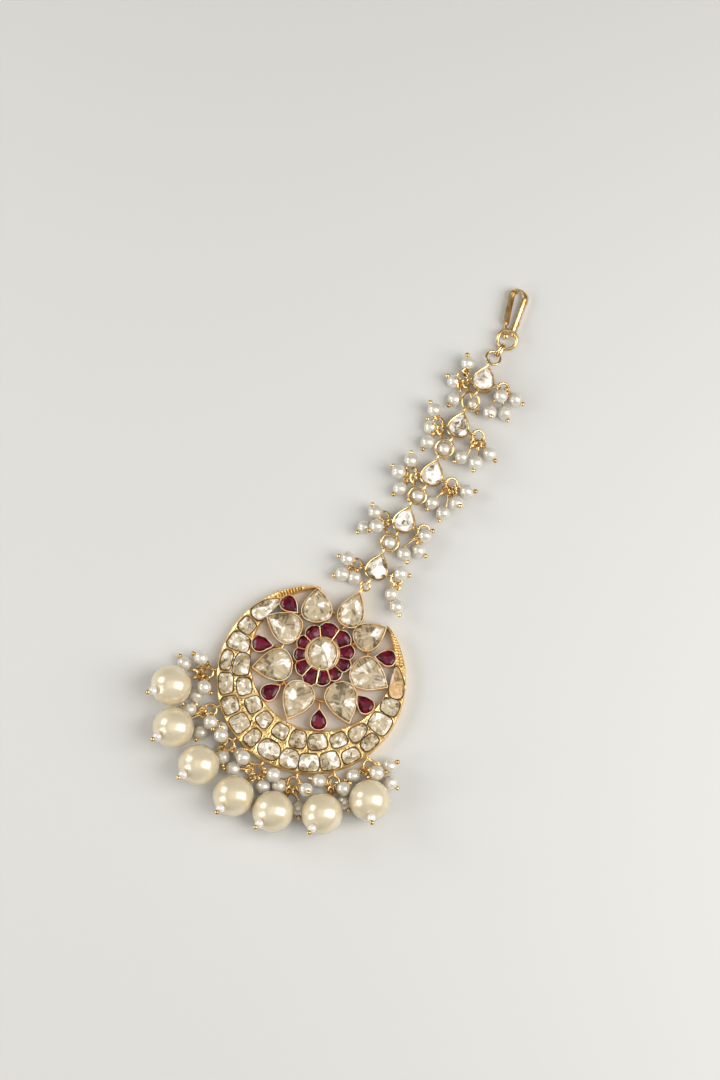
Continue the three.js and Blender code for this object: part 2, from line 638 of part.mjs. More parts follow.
// The pearl under the ring below a link.
function caughtPearl(i) {
  const caught = CAUGHT[i - 1];
  const below = loopPlace(LINKS[i - 1], LOOP_SPOTS.point, LOOP_END);
  const middle = below.add(loopPlace(LINKS[i], LOOP_SPOTS.heel, LOOP_END)).multiplyScalar(0.5);
  return { x: middle.x + caught.side, y: middle.y, z: PEARL, pin: caught.pin, lift: 0 };
}

LINKS.forEach((link, i) => {
  for (const side of ['left', 'right']) {
    const spot = LOOP_SPOTS[side];
    const bearing = loopPlace(link, spot, LOOP_END);
    const heading = link.heading + spot.turn;
    const reach = CLUSTER_RING.radius * Math.cos(radians(BUNCH_TILT));
    const middle = step(bearing.x, bearing.y, heading, reach);
    const ring = { ...middle, heading, z: bearing.z - CLUSTER_RING.radius * Math.sin(radians(BUNCH_TILT)) };
    const pearls = LINK_CLUSTERS[i][side].map((p) => ({ ...p, x: p.x + link.x, y: p.y + link.y }));
    if (side === 'left' && i > 0) {
      pearls.push(caughtPearl(i));
    }
    add(`link_cluster_${i + 1}_${side}`, pearlBunch(ring, BUNCH_TILT, pearls), pearlMaterial());
  }
});

// ---- the hook ----
const hookLink = uprightLoop(HOOK_LINK, HOOK_LINK.heading, HOOK_LINK.reach, HOOK_LINK.rise, HOOK_LINK.wire);
add('hook_link', hookLink, gold());

function hook() {
  const heading = headingTo({ x: (HOOK.rightX + HOOK.leftX) / 2, y: (HOOK.rightY + HOOK.leftY) / 2 },
    { x: HOOK.bendX, y: HOOK.bendY });
  const section = new THREE.Shape([
    new THREE.Vector2(-STRIP.width / 2, -STRIP.thick / 2),
    new THREE.Vector2(STRIP.width / 2, -STRIP.thick / 2),
    new THREE.Vector2(STRIP.width / 2, STRIP.thick / 2),
    new THREE.Vector2(-STRIP.width / 2, STRIP.thick / 2),
  ]);
  const points = [new THREE.Vector3(HOOK.rightX, HOOK.rightY, STRIP.z)];
  for (let turn = -80; turn <= 80; turn += 20) {
    const p = step(HOOK.bendX, HOOK.bendY, heading + turn, HOOK.bend);
    points.push(new THREE.Vector3(p.x, p.y, STRIP.z));
  }
  points.push(new THREE.Vector3(HOOK.leftX, HOOK.leftY, STRIP.z));
  const path = new THREE.CatmullRomCurve3(points, false, 'centripetal');
  const strip = new THREE.ExtrudeGeometry(section, { steps: 26, extrudePath: path, bevelEnabled: false });
  const ring = ringGeometry(HOOK_RING, HOOK_RING.radius, HOOK_RING.wire, 90, -HOOK_RING.tilt);
  const leg = new THREE.Vector3(HOOK.leftX, HOOK.leftY, TAIL.z);
  const knob = new THREE.Vector3(TAIL.x, TAIL.y, TAIL.z);
  return geometryOf(join([
    solid(strip), solid(ring), rod(leg, knob, TAIL.radius, 6), ball(knob, TAIL.knob, 8, 6),
  ]));
}

add('hook', hook(), gold());

export default tikka;
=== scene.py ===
import math
import random

import bpy
from mathutils import Matrix, Vector, noise


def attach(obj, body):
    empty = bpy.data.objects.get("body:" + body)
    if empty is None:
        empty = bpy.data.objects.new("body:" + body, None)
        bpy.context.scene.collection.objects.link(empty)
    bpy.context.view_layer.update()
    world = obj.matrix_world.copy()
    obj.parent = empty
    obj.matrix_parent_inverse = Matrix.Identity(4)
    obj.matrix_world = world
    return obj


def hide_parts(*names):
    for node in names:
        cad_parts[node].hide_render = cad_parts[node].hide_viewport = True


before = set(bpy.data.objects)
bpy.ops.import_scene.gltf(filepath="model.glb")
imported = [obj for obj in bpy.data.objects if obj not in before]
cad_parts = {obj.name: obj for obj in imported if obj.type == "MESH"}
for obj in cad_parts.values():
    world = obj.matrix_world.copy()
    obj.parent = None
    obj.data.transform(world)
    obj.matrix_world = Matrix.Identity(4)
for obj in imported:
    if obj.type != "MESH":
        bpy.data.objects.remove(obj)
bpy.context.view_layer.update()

bpy.ops.object.select_all(action="DESELECT")

# ==== the floor, the lights and the camera ====
# The piece lies on a sheet of pale paper, under a wide soft sheet of light, with one large soft
# box on its right and two smaller ones on its left. The camera looks almost straight down.
mm = 0.001
bpy.ops.mesh.primitive_plane_add(size=2.4, location=(0, 0, -0.05 * mm))
floor = bpy.context.object
floor.name = "paper_floor"
floor.data.name = "paper_floor"
paper = bpy.data.materials.new("paper")
paper.use_nodes = True
paper.node_tree.nodes["Principled BSDF"].inputs["Base Color"].default_value = (0.66, 0.65, 0.62, 1)
paper.node_tree.nodes["Principled BSDF"].inputs["Roughness"].default_value = 0.85
floor.data.materials.append(paper)

AIM = Vector((-5.7, 26.2, 0)) * mm
AWAY = Vector((52.1, -90.2, 590.9)) * mm
camera_data = bpy.data.cameras.new("camera")
camera_data.lens = 90.9
camera_data.sensor_width = 36
camera_data.clip_start = 0.01
camera = bpy.data.objects.new("camera", camera_data)
bpy.context.scene.collection.objects.link(camera)
back = AWAY.normalized()
right = Vector((0.866, 0.5, 0)).normalized()
turn = Matrix((right, back.cross(right), back)).transposed()
camera.matrix_world = Matrix.Translation(AIM + AWAY) @ turn.to_4x4()
bpy.context.scene.camera = camera

# Where each box hangs, in shares of its distance along the view's right, up and depth.
SOFT_BOXES = [
    {"name": "right_box", "right": 0.70, "up": 0.0, "toward": 0.71,
     "away": 450, "wide": 300, "high": 430, "power": 1.9},
    {"name": "upper_left_box", "right": -0.80, "up": 0.45, "toward": 0.40,
     "away": 450, "wide": 170, "high": 230, "power": 0.62},
    {"name": "lower_left_box", "right": -0.85, "up": -0.26, "toward": 0.46,
     "away": 450, "wide": 170, "high": 230, "power": 0.62},
    {"name": "overhead_sheet", "right": 0.0, "up": 0.1, "toward": 1.0,
     "away": 950, "wide": 800, "high": 800, "power": 1.5},
]
for box in SOFT_BOXES:
    light_data = bpy.data.lights.new(box["name"], "AREA")
    light_data.shape = "RECTANGLE"
    light_data.size = box["wide"] * mm
    light_data.size_y = box["high"] * mm
    light_data.energy = box["power"]
    light = bpy.data.objects.new(box["name"], light_data)
    way = right * box["right"] + back.cross(right) * box["up"] + back * box["toward"]
    light.location = way * box["away"] * mm
    light.rotation_euler = way.to_track_quat("Z", "Y").to_euler()
    bpy.context.scene.collection.objects.link(light)

world = bpy.data.worlds.new("studio")
world.use_nodes = True
world.node_tree.nodes["Background"].inputs["Color"].default_value = (1.0, 0.985, 0.96, 1)
world.node_tree.nodes["Background"].inputs["Strength"].default_value = 0.22
bpy.context.scene.world = world
bpy.context.scene.view_settings.view_transform = "Standard"

# ==== the gold of the pendant: crescent, bezels, flower, bridges and soldered loops ====
# High-carat gold sheet and strip, soldered into one openwork plate. The crescent is filled
# with soft gold that is pressed up round each stone. Its left point is chased with ridges, and
# its right point carries two lines of grains.


class Tone:
    """A value or colour in a material, so that its maths reads as maths."""

    def __init__(self, tree, socket=None):
        self.tree = tree
        self.socket = socket

    def node(self, kind, settings=None, sockets=None, output=0):
        made = self.tree.nodes.new(kind)
        for key, value in (settings or {}).items():
            setattr(made, key, value)
        for key, value in (sockets or {}).items():
            if isinstance(value, Tone):
                self.tree.links.new(value.socket, made.inputs[key])
            else:
                made.inputs[key].default_value = value
        return Tone(self.tree, made.outputs[output])

    def maths(self, operation, *values):
        return self.node("ShaderNodeMath", {"operation": operation}, dict(enumerate(values)))

    def __add__(self, other):
        return self.maths("ADD", self, other)

    __radd__ = __add__

    def __mul__(self, other):
        return self.maths("MULTIPLY", self, other)

    __rmul__ = __mul__

    def over(self, limit, soft):
        """0 below the limit, 1 above it, with a soft step between."""
        return self.node("ShaderNodeMapRange", {"interpolation_type": "SMOOTHSTEP"},
                         {"Value": self, "From Min": limit - soft, "From Max": limit + soft})

    def mix(self, low, high):
        """The colour low where this is 0 and high where it is 1: the node's sockets 6 and 7."""
        colours = {6: low if isinstance(low, Tone) else (*low, 1),
                   7: high if isinstance(high, Tone) else (*high, 1)}
        return self.node("ShaderNodeMix", {"data_type": "RGBA"}, {0: self, **colours}, 2)


def finish_named(name):
    """A new material: its tree to build in, the object coordinates, and its shader."""
    made = bpy.data.materials.new(name)
    made.use_nodes = True
    start = Tone(made.node_tree)
    place = start.node("ShaderNodeTexCoord", output="Object")
    return made, start, place, made.node_tree.nodes["Principled BSDF"]


def wire_up(shader, **sockets):
    """Links or sets the shader's sockets, each named in lower case."""
    for key, value in sockets.items():
        name = key.replace("_", " ").title().replace("Ior", "IOR")
        if isinstance(value, Tone):
            value.tree.links.new(value.socket, shader.inputs[name])
        else:
            shader.inputs[name].default_value = value


# Painted shade: the brown that the gold is mixed towards round its stones, in its pits and in its troughs.
SHADE_BROWN = (0.17, 0.07, 0.014)


def gold_finish(name, light, deep, rough, dent, dent_size, lit_above=0.0):
    """Gold with soft dents of one size, a finer grain, redder patches, and painted shade in its grooves,
    its pits and along the edges of its stones.
    Below a given height it is redder all over, its deep colour painted as shade on the bezels' walls; above
    it, its lighter patches stand for painted highlight on the rims."""
    made, start, place, shader = finish_named(name)
    dents = start.node("ShaderNodeTexNoise", None, {"Vector": place, "Scale": 1 / dent_size, "Detail": 3.0})
    grain = start.node("ShaderNodeTexNoise", None, {"Vector": place, "Scale": 9000.0, "Detail": 2.0})
    patches = start.node("ShaderNodeTexNoise", None, {"Vector": place, "Scale": 420.0, "Detail": 2.0})
    shade_mask = start.node("ShaderNodeAttribute", {"attribute_name": "shade_mask"}, None, "Fac")
    lift = start.node("ShaderNodeSeparateXYZ", None, {"Vector": place}, "Z")
    # Painted light: above the given height, lighter patches as highlight; below it, the deep colour as
    # shade.
    lit_colour = patches.over(0.5, 0.16).mix(light, deep)
    # Painted shade: where the shade mask says, the colour goes to the shade brown.
    colour = shade_mask.mix(lift.over(lit_above, 0.05 * mm).mix(deep, lit_colour), SHADE_BROWN)
    height = dents + grain * 0.12
    bump = start.node("ShaderNodeBump", None, {"Strength": 1.0, "Distance": dent, "Height": height})
    wire_up(shader, base_color=colour, metallic=1.0,
            roughness=patches * 0.12 + grain * 0.1 + shade_mask * 0.3 + (rough - 0.11), normal=bump)
    return made


foil_gold = gold_finish("foil_gold", (1.0, 0.76, 0.37), (0.90, 0.61, 0.24), 0.36, 0.06 * mm, 0.6 * mm)
# Painted light: the bezels' rims above 2.8 mm are painted lighter as highlight, their walls below deeper as
# shade.
rim_gold = gold_finish("rim_gold", (1.0, 0.90, 0.66), (0.98, 0.66, 0.29), 0.26, 0.02 * mm, 0.7 * mm,
                       2.8 * mm)
wire_gold = gold_finish("wire_gold", (0.96, 0.73, 0.37), (0.62, 0.39, 0.14), 0.20, 0.01 * mm, 0.5 * mm)
# Painted shade: the bridges' gold is painted darker and more orange, as the shade they lie in.
shaded_solder_gold = gold_finish("shaded_solder_gold", (0.85, 0.50, 0.18), (0.60, 0.30, 0.08), 0.34, 0.02 * mm, 0.5 * mm)


def formed(name, around, along, place):
    """A closed sheet in millimetres: place(u, v) is where each corner of its grid goes."""
    bpy.ops.mesh.primitive_grid_add(x_subdivisions=around, y_subdivisions=along, size=1)
    piece = bpy.context.object
    piece.name = name
    for corner in piece.data.vertices:
        corner.co = Vector(place(corner.co.x + 0.5, corner.co.y + 0.5)) * mm
    bpy.ops.object.mode_set(mode="EDIT")
    bpy.ops.mesh.select_all(action="SELECT")
    bpy.ops.mesh.remove_doubles(threshold=0.002 * mm)
    bpy.ops.mesh.normals_make_consistent(inside=False)
    bpy.ops.object.mode_set(mode="OBJECT")
    bpy.ops.object.select_all(action="DESELECT")
    return piece


def joined(name, pieces, finish, faceted=False):
    """Joins pieces into one mesh. Its corners stay crisp and its other faces are smooth, unless it
    is faceted: then all of its faces stay flat."""
    for piece in pieces:
        piece.select_set(True)
    bpy.context.view_layer.objects.active = pieces[0]
    bpy.ops.object.join()
    whole = bpy.context.object
    whole.name = name
    whole.data.name = name
    whole.data.materials.append(finish)
    if not faceted:
        bpy.ops.object.shade_smooth_by_angle(angle=math.radians(38))
    bpy.ops.object.select_all(action="DESELECT")
    return whole


def copied(piece, matrix):
    """A copy of a piece with a mesh of its own, moved by a matrix."""
    twin = piece.copy()
    twin.data = piece.data.copy()
    twin.data.transform(matrix)
    bpy.context.scene.collection.objects.link(twin)
    return twin


def heading_vector(heading, lift=0.0):
    """One step along a heading, in degrees from +X, lifted off the paper."""
    flat = math.cos(math.radians(lift))
    plan = math.radians(heading)
    return Vector((flat * math.cos(plan), flat * math.sin(plan), math.sin(math.radians(lift))))


def between(low, high, share):
    return low + (high - low) * share


OUTER = {"x": 0.7, "y": -6.1, "radius": 20.6}
INNER = {"x": 0.6, "y": -1.0, "radius": 15.7}
HORNS = {"left": 116, "right": 424}
STONES_END = {"left": 142, "right": 398}
FOIL_TOP = 2.62
STONE_SINK = 0.75
STONE_SPREAD = 0.16
SQUARER = 1.2
NARROWING = 0.9
RIM = 0.5

# Each stone of the crescent: headings it lies between, how near and far its edges are from the
# outer centre, how square its corners are (2 is an oval), and how much it narrows one way.
CRESCENT_STONES = [
    {"start": 142, "end": 162, "near": 17.2, "far": 20.3, "square": 2.2, "narrow": 0.5},
    {"start": 165, "end": 174.5, "near": 16.7, "far": 19.9, "square": 3.0, "narrow": 0},
    {"start": 176.5, "end": 188, "near": 15.4, "far": 19.9, "square": 3.0, "narrow": 0.1},
    {"start": 191, "end": 203, "near": 17.8, "far": 20.3, "square": 3.2, "narrow": 0},
    {"start": 206, "end": 219, "near": 17.0, "far": 20.3, "square": 3.2, "narrow": 0},
    {"start": 222, "end": 233, "near": 16.7, "far": 20.2, "square": 3.6, "narrow": 0},
    {"start": 236, "end": 247, "near": 16.2, "far": 20.1, "square": 3.4, "narrow": 0},
    {"start": 251, "end": 259, "near": 16.0, "far": 19.7, "square": 3.0, "narrow": 0},
    {"start": 262, "end": 277, "near": 15.8, "far": 19.6, "square": 2.0, "narrow": 0},
    {"start": 279, "end": 291, "near": 15.9, "far": 19.9, "square": 2.4, "narrow": 0},
    {"start": 292.5, "end": 305, "near": 16.3, "far": 19.9, "square": 3.4, "narrow": 0},
    {"start": 307, "end": 319, "near": 16.4, "far": 20.3, "square": 3.4, "narrow": 0},
    {"start": 322, "end": 333, "near": 17.4, "far": 20.3, "square": 3.4, "narrow": 0},
    {"start": 337, "end": 348.5, "near": 17.4, "far": 20.3, "square": 2.6, "narrow": 0},
    {"start": 351, "end": 363.5, "near": 15.5, "far": 20.3, "square": 3.4, "narrow": 0},
    {"start": 365.5, "end": 376, "near": 16.3, "far": 20.2, "square": 2.8, "narrow": 0},
    {"start": 377.5, "end": 398, "near": 17.3, "far": 20.3, "square": 2.2, "narrow": -0.5},
    {"start": 189, "end": 206, "near": 13.8, "far": 17.1, "square": 3.0, "narrow": 0.15},
    {"start": 209, "end": 222.5, "near": 13.1, "far": 16.1, "square": 3.2, "narrow": 0},
    {"start": 227, "end": 240, "near": 12.0, "far": 15.2, "square": 3.2, "narrow": 0},
    {"start": 245, "end": 257, "near": 11.8, "far": 14.9, "square": 3.0, "narrow": 0},
    {"start": 263, "end": 276.5, "near": 11.6, "far": 14.5, "square": 3.2, "narrow": 0},
    {"start": 281, "end": 295, "near": 11.5, "far": 15.1, "square": 2.6, "narrow": 0},
    {"start": 298, "end": 314, "near": 12.1, "far": 15.3, "square": 3.0, "narrow": 0},
    {"start": 318, "end": 331, "near": 13.1, "far": 15.9, "square": 3.0, "narrow": 0},
    {"start": 334, "end": 349, "near": 14.1, "far": 16.8, "square": 2.4, "narrow": -0.3},
]


def inner_edge(heading):
    """How far the crescent's inner edge is from the outer centre."""
    way = heading_vector(heading)
    shift = Vector((INNER["x"] - OUTER["x"], INNER["y"] - OUTER["y"], 0))
    along = way.dot(shift)
    return along + math.sqrt(along * along - shift.length_squared + INNER["radius"] ** 2)


def stone_size(stone):
    """The middle of a stone as a heading and a radius, and its half sizes; a rim stays outside it."""
    near = stone["near"] - STONE_SPREAD * 0.7
    far = min(stone["far"] + STONE_SPREAD * 0.7, OUTER["radius"] - RIM)
    mean = (near + far) / 2
    half_along = math.radians(stone["end"] - stone["start"]) / 2 * mean + STONE_SPREAD
    return (stone["start"] + stone["end"]) / 2, mean, half_along, (far - near) / 2


def stone_clear(stone, heading, radius):
    """About how far a place is outside a stone's edge; less than 0 inside it."""
    middle, mean, half_along, half_across = stone_size(stone)
    along = math.radians(heading - middle) * mean / half_along
    across = (radius - mean) / (half_across * (1 + stone["narrow"] * along * NARROWING))
    power = stone["square"] * SQUARER
    share = (abs(along) ** power + abs(across) ** power) ** (1 / power)
    return (share - 1) * min(half_along, half_across)


# The pressed gold: its rolled edge and raised lip, the dip round each stone with a painted shadow line
# along it, its pits painted dark as shade, and the ridges chased across the left point, with painted shade
# in their troughs.
ROLL = {"wide": 0.3, "deep": 0.3}
LIP = {"high": 0.14, "inside": 0.22, "wide": 0.12}
DIP = {"deep": 0.5, "wide": 0.34}
STONE_SHADOW = {"outside": 0.02, "wide": 0.16}
PIT = {"deep": 0.3, "off_stones": 0.42, "off_edges": 0.6, "rarity": 0.22, "steepness": 7, "painted_shade": 0.9}
RIDGE = {"high": 0.22, "pitch": 0.66, "headings": 17, "off_stones": 0.2, "painted_shade": 0.75}
GRAIN_BED = {"painted_shade": 0.6, "off_stones": 0.2, "off_edges": 0.12}
NEIGHBOUR = 8


def foil_shape(heading, radius):
    """Height of the pressed gold, with a soft ridge between stones, and how much painted shade darkens it.
    """
    near_stones = [stone for stone in CRESCENT_STONES
                   if stone["start"] - NEIGHBOUR < heading < stone["end"] + NEIGHBOUR]
    clear = min([9.0] + [stone_clear(stone, heading, radius) for stone in near_stones])
    edge = min(OUTER["radius"] - radius, radius - inner_edge(heading))
    rounding = max(0.0, 1 - edge / ROLL["wide"])
    spot = Vector((heading * 0.9, radius * 1.4, 0.0))
    height = FOIL_TOP + 0.07 * noise.noise(spot)
    height -= ROLL["deep"] * (1 - math.sqrt(max(0.0, 1 - rounding ** 2)))
    height += LIP["high"] * math.exp(-(((edge - LIP["inside"]) / LIP["wide"]) ** 2))
    # Painted shadow: a dark line just outside each stone's edge, where the gap beside the stone lies in
    # shade.
    painted_shade = max(0.0, 1 - abs(clear - STONE_SHADOW["outside"]) / STONE_SHADOW["wide"])
    if clear < DIP["wide"]:
        height -= DIP["deep"] * (1 - max(0.0, clear) / DIP["wide"]) ** 2
    if clear < 0:
        height -= STONE_SINK
    past_left = STONES_END["left"] - heading
    past_right = heading - STONES_END["right"]
    # Painted shade in the pits, in the troughs of the ridges and on the bed round the grains.
    if clear > PIT["off_stones"] and edge > PIT["off_edges"] and max(past_left, past_right) < 0:
        pit = min(1.0, max(0.0, noise.noise(spot * 1.9) - PIT["rarity"]) * PIT["steepness"])
        height -= PIT["deep"] * pit
        painted_shade = max(painted_shade, PIT["painted_shade"] * pit)
    if 0 < past_left < RIDGE["headings"] and clear > RIDGE["off_stones"]:
        chased = math.sin(math.radians(heading) * OUTER["radius"] * 2 * math.pi / RIDGE["pitch"])
        height += RIDGE["high"] * chased * min(1.0, past_left / 2) * (1 - rounding)
        painted_shade = max(painted_shade, RIDGE["painted_shade"] * max(0.0, -chased) * (1 - rounding))
    if past_right > 0 and clear > GRAIN_BED["off_stones"] and edge > GRAIN_BED["off_edges"]:
        painted_shade = max(painted_shade, GRAIN_BED["painted_shade"])
    return height, painted_shade


# The foil's rows lie close together along its edges, and its steps follow the crescent round.
EDGE_ROWS = (0.0, 0.09, 0.2, 0.34, 0.5)
INSIDE_ROWS = 30
FOIL_ROWS = INSIDE_ROWS + 2 * len(EDGE_ROWS)
FOIL_STEPS = 900
TIP = {"share": 0.0001, "height": 1.2}


def foil_row(row, width):
    """How far a row of the foil is from the inner edge: rows lie closer along both edges."""
    room = min(1.0, width / 2.4)
    last = len(EDGE_ROWS) - 1
    if row <= last:
        return EDGE_ROWS[row] * room
    if row >= FOIL_ROWS - 1 - last:
        return width - EDGE_ROWS[FOIL_ROWS - 1 - row] * room
    return between(EDGE_ROWS[last] * room, width - EDGE_ROWS[last] * room, (row - last) / (INSIDE_ROWS + 1))


def crescent_corner(u, v):
    """The closed crescent: foil on top, walls at both edges, a flat back, and a point at each end."""
    heading = between(HORNS["left"], HORNS["right"], u)
    row = round(v * (FOIL_ROWS + 2))
    near = inner_edge(heading)
    far = OUTER["radius"]
    if min(u, 1 - u) < TIP["share"]:
        radius = (near + far) / 2
        height = TIP["height"]
    elif row in (0, FOIL_ROWS + 2):
        radius = near
        height = 0.0
    elif row == FOIL_ROWS + 1:
        radius = far
        height = 0.0
    else:
        radius = near + foil_row(row - 1, far - near)
        height = foil_shape(heading, radius)[0]
    place = heading_vector(heading) * radius
    return OUTER["x"] + place.x, OUTER["y"] + place.y, height


pressed = formed("crescent", FOIL_STEPS, FOIL_ROWS + 2, crescent_corner)
# Each corner of the foil keeps how much painted shade darkens it.
shade_masks = pressed.data.attributes.new("shade_mask", "FLOAT", "POINT")
for corner, shade_mask in zip(pressed.data.vertices, shade_masks.data):
    out = corner.co / mm - Vector((OUTER["x"], OUTER["y"], 0))
    heading = math.degrees(math.atan2(out.y, out.x)) % 360
    if heading < (HORNS["left"] + HORNS["right"] - 360) / 2:
        heading += 360
    shade_mask.value = foil_shape(heading, out.xy.length)[1]
crescent_parts = [pressed]
pendant_gold = []

# The pears of the flower: point of each bezel, heading of the point, length and width.
PETALS = [
    {"x": -8.2, "y": 12.1, "heading": 118, "length": 7.8, "width": 6.9},
    {"x": 0.4, "y": 15.9, "heading": 97, "length": 8.4, "width": 6.0},
    {"x": 9.3, "y": 12.2, "heading": 57, "length": 8.0, "width": 6.4},
    {"x": 16.1, "y": 0.7, "heading": -3, "length": 9.2, "width": 7.5},
    {"x": 12.8, "y": -10.4, "heading": -43, "length": 9.6, "width": 7.2},
    {"x": 0.5, "y": -16.3, "heading": -87, "length": 9.1, "width": 7.1},
    {"x": -11.8, "y": -10.3, "heading": 216, "length": 9.0, "width": 7.3},
    {"x": -14.9, "y": 1.1, "heading": 180, "length": 8.7, "width": 7.1},
]
for petal in PETALS:
    half_length = heading_vector(petal["heading"]) * petal["length"] / 2
    petal["middle"] = Vector((petal["x"], petal["y"], 0)) - half_length

# The small red drops between the pears, centre and heading of the point.
DROPLETS = [
    {"x": -11.4, "y": 5.7, "heading": -14}, {"x": -12.3, "y": -4.7, "heading": 21},
    {"x": -5.5, "y": -12.6, "heading": 62}, {"x": 6.5, "y": -12.8, "heading": 117},
    {"x": 13.3, "y": -4.9, "heading": 159}, {"x": 12.3, "y": 6.0, "heading": 204},
]
for droplet in DROPLETS:
    droplet["length"] = 5.0
    droplet["width"] = 3.8
    droplet["middle"] = Vector((droplet["x"], droplet["y"], 0))

# A pear's point draws in faster than its sides do.
PEAR_FULLNESS = 1.299
POINT_TRIM = 1.3


def pear_edge(pear, trim, share):
    """A place on the outline of a pear, drawn in by trim; share goes round it from the point."""
    t = 2 * math.pi * share
    along = (pear["length"] / 2 - POINT_TRIM * trim) * math.cos(t) - (POINT_TRIM - 1) * trim
    across = PEAR_FULLNESS * (pear["width"] / 2 - trim) * math.sin(t) * math.sin(t / 2)
    ahead = heading_vector(pear["heading"])
    return pear["middle"] + ahead * along + Vector((-ahead.y, ahead.x, 0)) * across


# A bezel's wall from under its middle, up its outside and over the rim, down to its floor.
BEZEL_WALL = [
    {"trim": None, "z": 0.0}, {"trim": 0.03, "z": 0.0}, {"trim": 0.0, "z": 0.05},
    {"trim": 0.0, "z": 2.70}, {"trim": 0.01, "z": 2.83}, {"trim": 0.05, "z": 2.89},
    {"trim": 0.20, "z": 2.90}, {"trim": 0.24, "z": 2.82}, {"trim": 0.26, "z": 2.60},
    {"trim": 0.27, "z": 1.4}, {"trim": None, "z": 1.4},
]
DENTED = {"above": 2, "sideways": 0.1, "upward": 0.04}


def bezel(name, outline, corners, wall=BEZEL_WALL):
    """A closed bezel, dented by hand tools: outline(trim, share) is its edge drawn in by trim."""
    middle = sum((outline(0.4, n / 8) for n in range(8)), Vector()) / 8
    last = len(wall) - 1

    def corner(u, v):
        row = wall[round(v * last)]
        edge = middle if row["trim"] is None else outline(row["trim"], u)
        if row["z"] < DENTED["above"]:
            return edge.x, edge.y, row["z"]
        spot = edge * 0.9
        dented = edge + DENTED["sideways"] * Vector((noise.noise(spot), noise.noise(spot + edge.yxz), 0))
        return dented.x, dented.y, row["z"] + DENTED["upward"] * noise.noise(edge * 1.7)

    return formed(name, corners, last, corner)


def pear_bezel(name, pear, corners, wall=BEZEL_WALL):
    """A bezel round a pear stone."""
    return bezel(name, lambda trim, share: pear_edge(pear, trim, share), corners, wall)


for number, petal in enumerate(PETALS, 1):
    pendant_gold.append(pear_bezel(f"bezel_{number}", petal, 72))
for number, droplet in enumerate(DROPLETS, 1):
    pendant_gold.append(pear_bezel(f"drop_{number}", droplet, 48))

# The red petals round the centre: heading, and how far out each one's edge is.
RED_PETALS = [
    {"heading": 106, "reach": 7.1}, {"heading": 64, "reach": 7.3}, {"heading": 32, "reach": 7.2},
    {"heading": 2, "reach": 6.9}, {"heading": -29, "reach": 6.8}, {"heading": -57, "reach": 7.2},
    {"heading": -86, "reach": 7.9}, {"heading": -117, "reach": 6.9}, {"heading": -148, "reach": 6.4},
    {"heading": -180, "reach": 6.3}, {"heading": -214, "reach": 6.6}, {"heading": -254, "reach": 7.1},
]
CENTRE = {"length": 7.4, "width": 6.8, "heading": 113}
NOTCH = {"deep": 0.8, "sharpness": 2.2}


def lobe_edge(heading, trim):
    """The scalloped outline of the red petals at a heading."""
    heading = (heading - RED_PETALS[0]["heading"]) % 360 + RED_PETALS[-1]["heading"]
    for one, following in zip(RED_PETALS, RED_PETALS[1:]):
        if following["heading"] <= heading <= one["heading"]:
            share = (one["heading"] - heading) / (one["heading"] - following["heading"])
            reach = between(one["reach"], following["reach"], share)
            dip = NOTCH["deep"] * (1 - abs(2 * share - 1)) ** NOTCH["sharpness"]
            return heading_vector(heading) * (reach - dip - trim)
    return heading_vector(heading) * (RED_PETALS[0]["reach"] - trim)


def centre_edge(trim, share):
    """The outline of the oval stone in the middle, drawn in by trim."""
    t = 2 * math.pi * share
    ahead = heading_vector(CENTRE["heading"])
    along = (CENTRE["length"] / 2 - trim) * math.cos(t)
    across = (CENTRE["width"] / 2 - trim) * math.sin(t)
    return ahead * along + Vector((-ahead.y, ahead.x, 0)) * across


pendant_gold.append(bezel("flower", lambda trim, share: lobe_edge(360 * share, trim), 264))
pendant_gold.append(bezel("centre", centre_edge, 72))

# The thin walls between the red petals, from the centre's bezel out to each notch.
WALL_HALF = 0.16
WALL_TOP = 2.8
WALL_FOOT = 1.3
WALL_START = 3.3
NOTCH_HEADINGS = [(one["heading"] + following["heading"]) / 2
                  for one, following in zip(RED_PETALS, RED_PETALS[1:])]


def petal_wall(start, end):
    """A thin wall with a rounded top between two places."""
    ahead = (end - start).normalized()

    def corner(u, v):
        turned = 2 * math.pi * v
        side = Vector((-ahead.y, ahead.x, 0)) * WALL_HALF * math.cos(turned)
        place = start.lerp(end, u) + side
        rounded = WALL_TOP - WALL_HALF + WALL_HALF * math.sin(turned)
        return place.x, place.y, rounded if math.sin(turned) > 0 else WALL_FOOT

    return formed("petal_wall", 6, 12, corner)


for heading in NOTCH_HEADINGS:
    pendant_gold.append(petal_wall(heading_vector(heading) * WALL_START, lobe_edge(heading, 0.15)))

